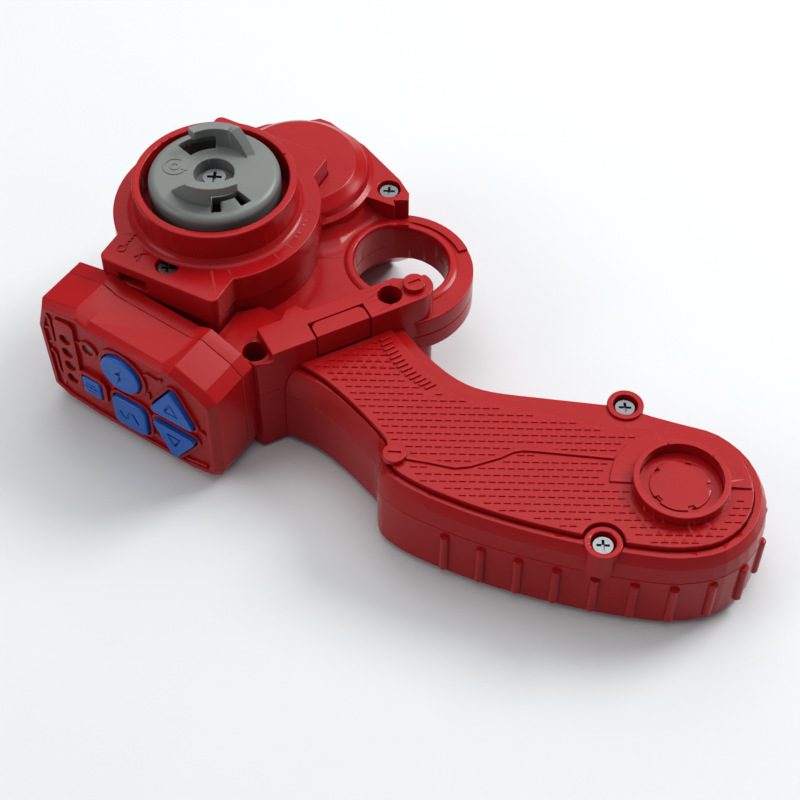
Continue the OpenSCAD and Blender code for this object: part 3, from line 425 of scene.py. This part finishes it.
def folded_places(piece, surface):
    places = []
    for polygon in piece.data.polygons:
        if polygon.area > 1e-12:
            place, normal, _, gap = surface.find_nearest(polygon.center)
            stands_out = gap > 0.08 * MM and (polygon.center - place).dot(normal) > 0
            if normal.dot(polygon.normal) < 0.05 or stands_out:
                reach = max((piece.data.vertices[v].co - polygon.center).length for v in polygon.vertices)
                places.append((polygon.center.copy(), reach))
    return places


def bevelled(piece, width, segments=2, tries=7):
    outer, inner = creases(piece.data)
    room = room_beside(outer)
    widths = {edge[0]: min(1, 0.36 * room.get(key, 1) / width) for key, edge in outer.items()}
    only(piece)
    bpy.ops.object.mode_set(mode="EDIT")
    bpy.ops.mesh.select_all(action="SELECT")
    bpy.ops.mesh.quads_convert_to_tris(quad_method="BEAUTY", ngon_method="BEAUTY")
    bpy.ops.object.mode_set(mode="OBJECT")
    blank = piece.data
    ends = {edge[0]: [blank.vertices[v].co.copy() for v in key] for key, edge in outer.items()}
    surface = BVHTree.FromPolygons([v.co for v in blank.vertices], [f.vertices for f in blank.polygons])
    for attempt in range(tries):
        rounded_once(piece, blank, widths, inner, width, segments)
        places = folded_places(piece, surface)
        if not places:
            break
        for centre, reach in places:
            near = min(reach, width) + 0.6 * width
            for index, (a, b) in ends.items():
                along = b - a
                t = max(0, min(1, (centre - a).dot(along) / (along.length_squared or 1)))
                if (a + t * along - centre).length < near:
                    widths[index] *= 0.35 if attempt < 2 else 0
    flat = piece.modifiers.new("flat", "WEIGHTED_NORMAL")
    flat.keep_sharp = True
    apply_modifiers(piece)
    print(piece.name, "rounded in", attempt + 1, "tries,", len(places), "places left")


def dressed(piece, node):
    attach(piece, body_of_node[node])


# %% [markdown]
# ## Small relief
# The mould adds many small raised and sunk shapes: a textured plate, rings, ribs and marks. Each
# could be painted as a bump, but a real edge catches the light from every side, so they are
# meshes. A flat shape starts as a filled circle whose points are moved to an outline, as one
# would by hand, and is then extruded. The outlines below are in millimetres, seen from above.

# %% Outline helpers
def arc(x, y, r, start, end, steps):
    turns = [math.radians(start + (end - start) * i / steps) for i in range(steps + 1)]
    return [(x + r * math.cos(t), y + r * math.sin(t)) for t in turns]


def round_outline(x, y, r, steps=28):
    return arc(x, y, r, 0, 360 * (1 - 1 / steps), steps - 1)


def arc_band(x, y, r_in, r_out, start, end, steps=24):
    return arc(x, y, r_out, start, end, steps) + arc(x, y, r_in, end, start, steps)


def path_band(path, width):
    left, right = [], []
    for i, (x, y) in enumerate(path):
        (ax, ay), (bx, by) = path[max(i - 1, 0)], path[min(i + 1, len(path) - 1)]
        before = Vector((x - ax, y - ay)).normalized() if i else Vector((bx - x, by - y)).normalized()
        after = Vector((bx - x, by - y)).normalized() if i < len(path) - 1 else before
        along = (before + after).normalized()
        reach = width / 2 / max(along.dot(after), 0.5)
        left.append((x - along.y * reach, y + along.x * reach))
        right.append((x + along.y * reach, y - along.x * reach))
    return right + left[::-1]


def turned(outline, x, y, turn=0):
    c, s = math.cos(math.radians(turn)), math.sin(math.radians(turn))
    return [(x + c * px - s * py, y + s * px + c * py) for px, py in outline]


def grown(outline, by):
    result = []
    for i, (x, y) in enumerate(outline):
        (ax, ay), (bx, by_) = outline[i - 1], outline[(i + 1) % len(outline)]
        along = Vector((bx - ax, by_ - ay)).normalized()
        result.append((x + along.y * by, y - along.x * by))
    return result


# %% Extruded shapes
sunk = 0.1


def prism(outline, low, high):
    deselect()
    bpy.ops.mesh.primitive_circle_add(vertices=len(outline), radius=MM, fill_type="NGON")
    piece = bpy.context.object
    for vertex, (x, y) in zip(piece.data.vertices, outline):
        vertex.co = (x * MM, y * MM, low * MM)
    bpy.ops.object.mode_set(mode="EDIT")
    bpy.ops.mesh.select_all(action="SELECT")
    bpy.ops.mesh.extrude_region_move(TRANSFORM_OT_translate={"value": (0, 0, (high - low) * MM)})
    bpy.ops.mesh.select_all(action="SELECT")
    bpy.ops.mesh.normals_make_consistent(inside=False)
    bpy.ops.object.mode_set(mode="OBJECT")
    return piece


def spun(profile, x=0, y=0, steps=96):
    deselect()
    bpy.ops.mesh.primitive_circle_add(vertices=len(profile), radius=MM, fill_type="NOTHING")
    piece = bpy.context.object
    for vertex, (r, z) in zip(piece.data.vertices, profile):
        vertex.co = (r * MM, 0, z * MM)
    bpy.ops.object.mode_set(mode="EDIT")
    bpy.ops.mesh.select_all(action="SELECT")
    bpy.ops.mesh.spin(steps=steps, angle=2 * math.pi, center=(0, 0, 0), axis=(0, 0, 1))
    bpy.ops.mesh.select_all(action="SELECT")
    bpy.ops.mesh.remove_doubles(threshold=0.000002)
    bpy.ops.mesh.normals_make_consistent(inside=False)
    bpy.ops.object.mode_set(mode="OBJECT")
    placed(piece, Matrix.Translation((x * MM, y * MM, 0)))
    bpy.ops.object.shade_smooth_by_angle(angle=math.radians(40))
    return piece


def joined(name, pieces):
    only(*pieces)
    if len(pieces) > 1:
        bpy.ops.object.join()
    piece = bpy.context.object
    piece.name = piece.data.name = name
    return piece


def placed(piece, matrix):
    piece.matrix_world = matrix
    only(piece)
    bpy.ops.object.transform_apply(location=True, rotation=True, scale=True)
    return piece


def added(name, pieces, node, edge=0.0, matrix=None):
    piece = joined(name, pieces)
    if matrix:
        placed(piece, matrix)
    if edge:
        bevelled(piece, edge * MM)
    piece.data.materials.clear()
    piece.data.materials.append(finishes[slot_of_node[node]])
    dressed(piece, node)
    print(name, len(piece.data.polygons), "faces")
    return piece


def engraved(piece, cutters, matrix=None):
    cutter = joined("cutter", cutters)
    if matrix:
        placed(cutter, matrix)
    cut = piece.modifiers.new("engraving", "BOOLEAN")
    cut.operation, cut.solver, cut.object, cut.use_self = "DIFFERENCE", "EXACT", cutter, True
    apply_modifiers(piece)
    only(cutter)
    bpy.ops.object.delete()
    put_in_order(piece)
    return piece


def hollow_band(outer, hole, low, high):
    return engraved(prism(outer, low, high), [prism(hole, low - 1, high + 1)])


def raised(outline, face, rise):
    return prism(outline, face - sunk, face + rise)


def raised_ring(x, y, r_out, r_in, face, rise):
    return hollow_band(round_outline(x, y, r_out), round_outline(x, y, r_in), face - sunk, face + rise)


# %% [markdown]
# ## The sloping shoulder by the finger ring
# On the toy the casing runs from the drum's foot down to the finger ring in one hollow curve. The
# CAD solid has a flat plate there, so the plate is cut back in the copy. A grid whose rows fan
# out from the drum makes the curve, and a lip of changing height is spun round the finger hole.
# Under the ring the lower casing is cut away round the hole, and a second cutter leans along the
# camera's line of sight, because the table shows through the ring.

# %% Cutters for the shoulder
drum_x, drum_y, drum_foot = 19.7, 24.6, 21.9
hole_x, hole_y, ring_top, deck, plate_level = 51.0, -2.0, 28.0, 30.0, 36.0
above, below = plate_level + 9, -1
ring_in, ring_out, ring_foot = 13.0, 17.8, 16.45
under_ring, under_lean, lean_x, lean_y = 17.5, 14.2, -0.7, 13.8


def shoulder_cutters(node):
    if node == "upper_casing":
        return [prism(arc_band(drum_x, drum_y, drum_foot, 45, -100, -22, 40), deck + 0.05, above),
                prism(arc_band(hole_x, hole_y, ring_in, ring_out, 55, 100, 24), ring_top + 0.02, above)]
    if node == "lower_casing":
        slanted = prism(round_outline(hole_x, hole_y, under_lean, 64), below, ring_foot)
        for vertex in slanted.data.vertices:
            if vertex.co.z < 0:
                vertex.co.x += lean_x * MM
                vertex.co.y += lean_y * MM
        return [prism(round_outline(hole_x, hole_y, under_ring, 64), below, ring_foot), slanted]
    return []


# %% Mouldings
soft_edges = {
    "lower_casing": 0.5, "upper_casing": 0.5, "launch_tower": 0.55, "pod_front_case": 0.45,
    "pod_rear_case": 0.4, "grip_lower_shell": 0.4, "grip_upper_shell": 0.35, "grip_plate": 0.35,
    "medallion": 0.2, "slotted_caps": 0.25, "launch_hub": 0.35, "grip_latch": 0.3,
}
soft = {}
for node, width in soft_edges.items():
    piece = merged_copy(node, node + "_moulding", shoulder_cutters(node))
    bevelled(piece, width * MM)
    dressed(piece, node)
    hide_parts(node)
    soft[node] = piece
    print(piece.name, len(piece.data.polygons), "faces")

# %% [markdown]
# ## The textured plate
# The grip's plate has rows of tiny wedges that keep a hand from slipping. Each rises towards the
# player and ends in a small wall, which shows as a dark dash. A painted texture would look flat
# from the side, so one pair of wedges is modelled and two array modifiers repeat it. The wedges
# that would stand on an edge, a ring or a screw boss are then deleted.

# %% Grip wedges
plate = soft["grip_plate"]
plate_top = 29.0
pitch = 2.51
row_step = pitch * math.sqrt(3) / 2
wedge_wide, wedge_rise, point_rise = 2.0, 0.3, 0.03
wedge_back, wedge_point, wedge_sunk = 0.55, 1.0, 0.02
high_up = 0.1


def flat_plate_at(x, y):
    hit, place, _, _ = plate.ray_cast(Vector((x * MM, y * MM, high_up)), Vector((0, 0, -1)))
    return hit and abs(place.z - plate_top * MM) < 0.02 * MM


def wedge(x, y):
    half = wedge_wide / 2
    outline = [(x - half, y - wedge_back), (x + half, y - wedge_back), (x, y + wedge_point)]
    piece = prism(outline, plate_top - wedge_sunk, plate_top + wedge_rise)
    for vertex in piece.data.vertices:
        if vertex.co.z > plate_top * MM:
            if vertex.co.y > (y + wedge_point / 2) * MM:
                vertex.co.z = (plate_top + point_rise) * MM
            else:
                vertex.co.x += (x * MM - vertex.co.x) * 0.16
                vertex.co.y += 0.1 * MM
    return piece


field_x, field_y, field_turn = (20, 150), (-98, -26), 2.0
field = joined("grip_wedges", [wedge(0, 0), wedge(pitch / 2, row_step)])
for axis, step, span in ((0, pitch, field_x), (1, 2 * row_step, field_y)):
    rows = field.modifiers.new("rows", "ARRAY")
    rows.use_relative_offset, rows.use_constant_offset = False, True
    rows.constant_offset_displace = [step * MM if k == axis else 0 for k in range(3)]
    rows.count = int((span[1] - span[0]) / step)
apply_modifiers(field)
field_place = Matrix.Translation((field_x[0] * MM, field_y[0] * MM, 0))
placed(field, field_place @ Matrix.Rotation(math.radians(field_turn), 4, "Z"))
print("wedges before trimming", len(field.data.vertices) // 6)

# %% Trimmed to the plate
ridge_path = [(56.0, -70.5), (62.2, -71.4), (68.7, -72.6), (72.5, -71.9), (80.1, -68.7), (83.5, -66.6),
              (86.5, -66.0), (90.4, -66.1), (109.5, -67.2)]
rib_path = [(48.0, -29.8), (49.2, -33.4), (51.2, -36.4), (53.4, -39.6), (56.0, -42.6), (58.9, -44.9),
            (61.9, -46.9)]
rivet_at = (52.9, -70.0)
wedge_room, ridge_room, rib_room, rivet_room = 1.25, 1.2, 2.2, 4.3


def distance_to(path, x, y):
    best = 1e9
    for (ax, ay), (bx, by) in zip(path, path[1:]):
        dx, dy = bx - ax, by - ay
        t = min(max(((x - ax) * dx + (y - ay) * dy) / (dx * dx + dy * dy), 0), 1)
        best = min(best, math.hypot(x - ax - t * dx, y - ay - t * dy))
    return best


def wedge_fits(x, y):
    return (all(flat_plate_at(*q) for q in round_outline(x, y, wedge_room, 8))
            and distance_to(ridge_path, x, y) > ridge_room and distance_to(rib_path, x, y) > rib_room
            and math.hypot(x - rivet_at[0], y - rivet_at[1]) > rivet_room)


deselect()
bpy.context.tool_settings.mesh_select_mode = (True, False, False)
only(field)
vertices = field.data.vertices
for part in (field.data.polygons, field.data.edges):
    part.foreach_set("select", [False] * len(part))
kept = 0
for k in range(0, len(vertices), 6):
    middle = sum((vertices[k + j].co for j in range(6)), Vector()) / 6
    fits = wedge_fits(middle.x / MM, middle.y / MM)
    kept += fits
    for j in range(6):
        vertices[k + j].select = not fits
bpy.ops.object.mode_set(mode="EDIT")
bpy.ops.mesh.delete(type="VERT")
bpy.ops.object.mode_set(mode="OBJECT")
added("grip_wedges", [field], "grip_plate")
print("wedges kept", kept)

# %% [markdown]
# ## Ridge, ribs and disc
# A thin raised line runs from the small slotted rivet to the round end, where a low disc has five
# notches. A plain row of slanting ribs fills the strip at the neck.

# %% Raised shapes on the plate
ridge_wide, ridge_rise = 1.3, 0.6
added("grip_ridge", [raised(path_band(ridge_path, ridge_wide), plate_top, ridge_rise)], "grip_plate", 0.3)

lengths = [0]
for (ax, ay), (bx, by) in zip(rib_path, rib_path[1:]):
    lengths.append(lengths[-1] + math.hypot(bx - ax, by - ay))
slants = []
rib_count, rib_wide, rib_rise, rib_x, rib_y = 13, 0.85, 0.5, 1.4, 0.9
for i in range(rib_count):
    reach = lengths[-1] * (i + 0.5) / rib_count
    k = max(j for j in range(len(lengths) - 1) if lengths[j] <= reach)
    t = (reach - lengths[k]) / (lengths[k + 1] - lengths[k])
    x, y = (a + (b - a) * t for a, b in zip(rib_path[k], rib_path[k + 1]))
    slant = path_band([(x - rib_x, y - rib_y), (x + rib_x, y + rib_y)], rib_wide)
    slants.append(raised(slant, plate_top, rib_rise))
added("grip_slant_ribs", slants, "grip_plate", 0.14)

disc_x, disc_y, disc_r = 126.2, -75.1, 7.9
notch_count, notch_deep, disc_rise = 5, 1.2, 0.4
disc = []
for i in range(notch_count):
    start = 10 + 360 / notch_count * i
    disc += arc(disc_x, disc_y, disc_r, start, start + 56, 12)
    disc += arc(disc_x, disc_y, disc_r - notch_deep, start + 57, start + 71, 4)
added("grip_disc", [raised(disc, plate_top, disc_rise)], "medallion", 0.15)

# %% [markdown]
# ## The finger ring
# The ring's upper face isn't flat. A low lip runs round the hole, and the outer edge stands a
# little higher at the back and ends in a step.

# %% Ring lip and step
lip_foot, lip_rise, lip_low_x, lip_slope = 27, 2, 56, 12
lip_profile = [(13.5, lip_foot), (13.5, 28.4), (13.75, 28.7), (14.1, 28.8), (15.3, 28.7), (16.1, 28.2),
               (16.4, lip_foot)]
lip = spun(lip_profile, hole_x, hole_y)
for vertex in lip.data.vertices:
    if vertex.co.z > (lip_foot + 0.5) * MM:
        share = min(max((lip_low_x - vertex.co.x / MM) / lip_slope, 0), 1)
        vertex.co.z += lip_rise * MM * share * share * (3 - 2 * share)
added("ring_lip", [lip], "upper_casing")


def way_to_circle(phi, r):
    away = Vector((hole_x - drum_x, hole_y - drum_y))
    ray = Vector((math.cos(phi), math.sin(phi)))
    along = away.dot(ray)
    room = r * r - (away.length_squared - along * along)
    return along - math.sqrt(room) if room > 0 else None


deselect()
bpy.ops.mesh.primitive_grid_add(x_subdivisions=24, y_subdivisions=48, size=1)
shoulder = bpy.context.object
for vertex in shoulder.data.vertices:
    phi = math.radians(-100 + 80 * (vertex.co.y + 0.5))
    share = vertex.co.x + 0.5
    foot = min(6.5, (way_to_circle(phi, 16.2) or 99) - drum_foot)
    end = max(drum_foot + foot + 0.5, way_to_circle(phi, 13.7) or 0)
    if share < 0.7:
        turn = math.radians(90 * share / 0.7)
        r = drum_foot - 0.4 + (foot + 0.4) * (1 - math.cos(turn))
        z = deck + 0.06 + (plate_level - deck) * (1 - math.sin(turn))
    else:
        r = drum_foot + foot + (end - drum_foot - foot) * (share - 0.7) / 0.3
        z = deck + 0.06
    vertex.co = ((drum_x + r * math.cos(phi)) * MM, (drum_y + r * math.sin(phi)) * MM, z * MM)
only(shoulder)
bpy.ops.object.mode_set(mode="EDIT")
bpy.ops.mesh.select_all(action="SELECT")
bpy.ops.mesh.extrude_region_move(TRANSFORM_OT_translate={"value": (0, 0, -20 * MM)})
bpy.ops.object.mode_set(mode="OBJECT")
for vertex in shoulder.data.vertices:
    if vertex.co.z < 20 * MM:
        vertex.co.z = 27.5 * MM
bpy.ops.object.mode_set(mode="EDIT")
bpy.ops.mesh.select_all(action="SELECT")
bpy.ops.mesh.normals_make_consistent(inside=False)
bpy.ops.object.mode_set(mode="OBJECT")
bpy.ops.object.shade_smooth_by_angle(angle=math.radians(35))
added("ring_shoulder", [shoulder], "upper_casing")
patches = [prism(arc_band(hole_x, hole_y, 17.6, 19, 87, 100, 12), lip_foot, plate_level - 0.02),
           prism(arc_band(hole_x, hole_y, 13.5, ring_out, 55, 110, 24), lip_foot, ring_top + 0.05)]
added("ring_patches", patches, "upper_casing", 0.2)
step = prism(arc_band(50.5, -3.8, 18.0, 20.75, 24, 118, 44), ring_top - 0.4, ring_top + 0.8)
added("ring_step", [step], "upper_casing", 0.3)

# %% [markdown]
# ## Marks on the tower and the hub
# Small moulded pictures tell a child what goes where: a ring with a toothed strip beside the slot
# for the rip cord, and an arrow round a circle on the hub for the way it turns.

# %% Tower marks
tower_top, mark_rise, mark_line = 47.0, 0.3, 0.45
tooth_count, tooth = 9, 0.3
cord_mark = [(-22.9, -16.9)]
for i in range(1, tooth_count):
    t = i / (tooth_count - 1)
    side = tooth if i % 2 else -tooth
    cord_mark.append((-22.9 + 2.3 * t + side, -16.9 + 4.5 * t - side * 0.5))
strokes = [cord_mark, [(-19.8, -21.2), (-18.0, -20.0), (-16.2, -19.8)], [(-18.2, -20.2), (-18.9, -22.6)]]
marks = [raised(path_band(stroke, mark_line), tower_top, mark_rise) for stroke in strokes]
marks.insert(1, raised_ring(-23.7, -18.2, 1.35, 0.85, tower_top, mark_rise))
added("tower_marks", marks, "launch_tower", 0.09)

# %% Collar foot
collar_r, foot, foot_base = 22.4, 2.6, tower_top - 0.2
turns = [math.radians(9 * i) for i in range(11)]
hollow = [(collar_r + foot - foot * math.sin(t), tower_top + foot - foot * math.cos(t)) for t in turns]
foot_profile = [(collar_r + foot, foot_base)] + hollow + [(collar_r, foot_base)]
added("collar_foot", [spun(foot_profile)], "launch_tower")

# %% Hub marks
hub_top, hub_rise, hub_line = 59.0, 0.22, 0.22
mark_x, mark_y, mark_r = -10.9, 1.6, 3.0
arrow_ring = arc_band(mark_x, mark_y, mark_r - hub_line, mark_r + hub_line, 60, 340, 30)
tip_x, tip_y = arc(mark_x, mark_y, mark_r, 340, 341, 1)[0]
arrow_tip = turned([(-0.9, -0.2), (0.9, -0.2), (0, 1.3)], tip_x, tip_y, 342)
hub_marks = [raised(outline, hub_top, hub_rise) for outline in (arrow_ring, arrow_tip)]
hub_marks.append(raised_ring(mark_x, mark_y, 1.35, 0.95, hub_top, hub_rise))
added("hub_marks", hub_marks, "launch_hub", 0.06)

# %% [markdown]
# ## The button pod's face
# The sunken face carries a raised relief like the tracks of a circuit, a strip with four lamp
# holes, and a collar round each button. All of it is drawn flat, in the face's own width and
# height, extruded, and then set up against the slanting face by one matrix. Each collar takes
# its shape from the button that it surrounds.

# %% Pod face
pod_turn = math.radians(-30.5)
pod_along = Vector((math.cos(pod_turn), math.sin(pod_turn), 0))
pod_out = Vector((math.sin(pod_turn), -math.cos(pod_turn), 0))
pod_face = Matrix((pod_along, Vector((0, 0, 1)), pod_out)).transposed().to_4x4()
pod_x, pod_y = -21.307, -46.189
pod_face.translation = (pod_x * MM, pod_y * MM, 0)
face_low, hole_gap, point_gap = -0.7, 0.5, 0.35


def cap_outline(node, by):
    inverse = pod_face.inverted()
    seen = [inverse @ vertex.co for vertex in nodes[node].data.vertices]
    flat = [(p.x / MM, p.y / MM) for p in seen if p.z > 0.5 * MM]
    hull = [flat[i] for i in convex_hull_2d(flat)]
    spaced = [hull[0]]
    for point in hull[1:]:
        if math.dist(point, spaced[-1]) > point_gap and math.dist(point, hull[0]) > point_gap:
            spaced.append(point)
    return grown(spaced, by)


def cap_middle(node):
    outline = cap_outline(node, 0)
    return [(min(v) + max(v)) / 2 for v in zip(*outline)]


buttons = {"round_button": (1.7, -0.05), "square_button": (1.5, -0.05), "mode_button": (1.9, 0.55),
           "upper_arrow_button": (1.4, -0.05), "lower_arrow_button": (1.4, -0.05)}
relief = [hollow_band(cap_outline(node, width), cap_outline(node, hole_gap), face_low - sunk, top)
          for node, (width, top) in buttons.items()]
print("collars", [tuple(round(c, 2) for c in cap_middle(node)) for node in buttons])

# %% Lamp strip and tracks
lamp_x, lamp_heights, lamp_hole = -19.82, (29.11, 23.6, 18.1, 12.6), 1.9
strip_outline = [(-23.2, 9.2), (-16.4, 9.2), (-16.2, 35.6), (-17.4, 36.6), (-22.4, 36.2), (-23.2, 34.6)]
strip_top, track_top, track_wide = 0.3, -0.1, 0.9
strip = prism(strip_outline, face_low - sunk, strip_top)
relief.append(engraved(strip, [prism(round_outline(lamp_x, z, lamp_hole), -3, 3) for z in lamp_heights]))
lone_lamp = (-12.08, 29.4)
lone_ring = (round_outline(*lone_lamp, 3.1), round_outline(*lone_lamp, lamp_hole))
relief.append(hollow_band(*lone_ring, face_low - sunk, track_top))
tracks = [
    [(-16.3, 30.4), (-14.9, 30.1)],
    [(-9.3, 28.9), (-7.9, 28.5)],
    [(-25.8, 35.6), (-25.0, 33.6), (-24.9, 25.2), (-26.6, 23.6)],
    [(-27.2, 29.6), (-25.0, 30.0)],
    [(-26.5, 20.8), (-25.2, 19.2), (-25.0, 12.8), (-23.9, 11.4), (-23.9, 7.2)],
    [(7.4, 32.0), (8.9, 33.0), (12.2, 32.6), (13.6, 33.8)],
    [(8.2, 25.0), (7.9, 21.4), (9.4, 19.6)],
    [(8.9, 12.6), (9.8, 15.6)],
    [(8.2, 6.4), (9.4, 8.0)],
    [(25.2, 20.6), (26.3, 19.5), (27.4, 19.9)],
    [(18.6, 3.9), (26.0, 5.5)],
]
relief += [prism(path_band(track, track_wide), face_low - sunk, track_top) for track in tracks]
added("pod_relief", relief, "pod_front_case", 0.16, pod_face)

# %% [markdown]
# ## Symbols on the buttons
# Each blue button has a sunk symbol: a bolt, a wave, two arrows and a small pad. The mould's
# engraver cut them, so they are cut here too, with a boolean, into the rounded buttons.

# %% Engraved symbols
symbol_low, symbol_high = 0.72, 2.0


def symbol(outline, node):
    x, z = cap_middle(node)
    return prism([(x + px, z + pz) for px, pz in outline], symbol_low, symbol_high)


def loop_bands(corners, width):
    return [path_band([a, b], width) for a, b in zip(corners, corners[1:] + corners[:1])]


wave = [(-3.1 + 6.2 * i / 20, -1.9 * math.sin(math.radians(-20 + 450 * i / 20))) for i in range(21)]
arrow = [(-2.1, -3.0), (2.3, -3.0), (0.1, 1.0)]
symbols = {
    "round_button": [[(1.3, 3.3), (-1.9, -0.3), (0.0, 0.1), (-1.0, -3.3), (2.0, 0.5), (0.2, 0.0)]],
    "square_button": [path_band(wave, 0.75)],
    "mode_button": [path_band([(-2.2, 0.2), (-0.8, 0.2)], 0.6), path_band([(0.9, 0.2), (2.3, 0.2)], 0.6),
                    path_band([(-1.6, 1.5), (1.7, 1.5)], 0.5), path_band([(-1.2, -1.3), (1.2, -1.3)], 0.5),
                    round_outline(0, 0.2, 0.6, 12)],
    "upper_arrow_button": loop_bands(arrow, 0.7),
    "lower_arrow_button": loop_bands([(-x, -y) for x, y in arrow], 0.7),
}
for node, outlines in symbols.items():
    piece = merged_copy(node, node + "_moulding")
    bevelled(piece, 0.75 * MM, 3)
    engraved(piece, [symbol(outline, node) for outline in outlines], pod_face)
    only(piece)
    bpy.ops.object.shade_smooth_by_angle(angle=math.radians(35))
    flat = piece.modifiers.new("flat", "WEIGHTED_NORMAL")
    flat.keep_sharp = True
    apply_modifiers(piece)
    dressed(piece, node)
    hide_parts(node)
    print(piece.name, "with", len(outlines), "cuts,", len(piece.data.polygons), "faces")
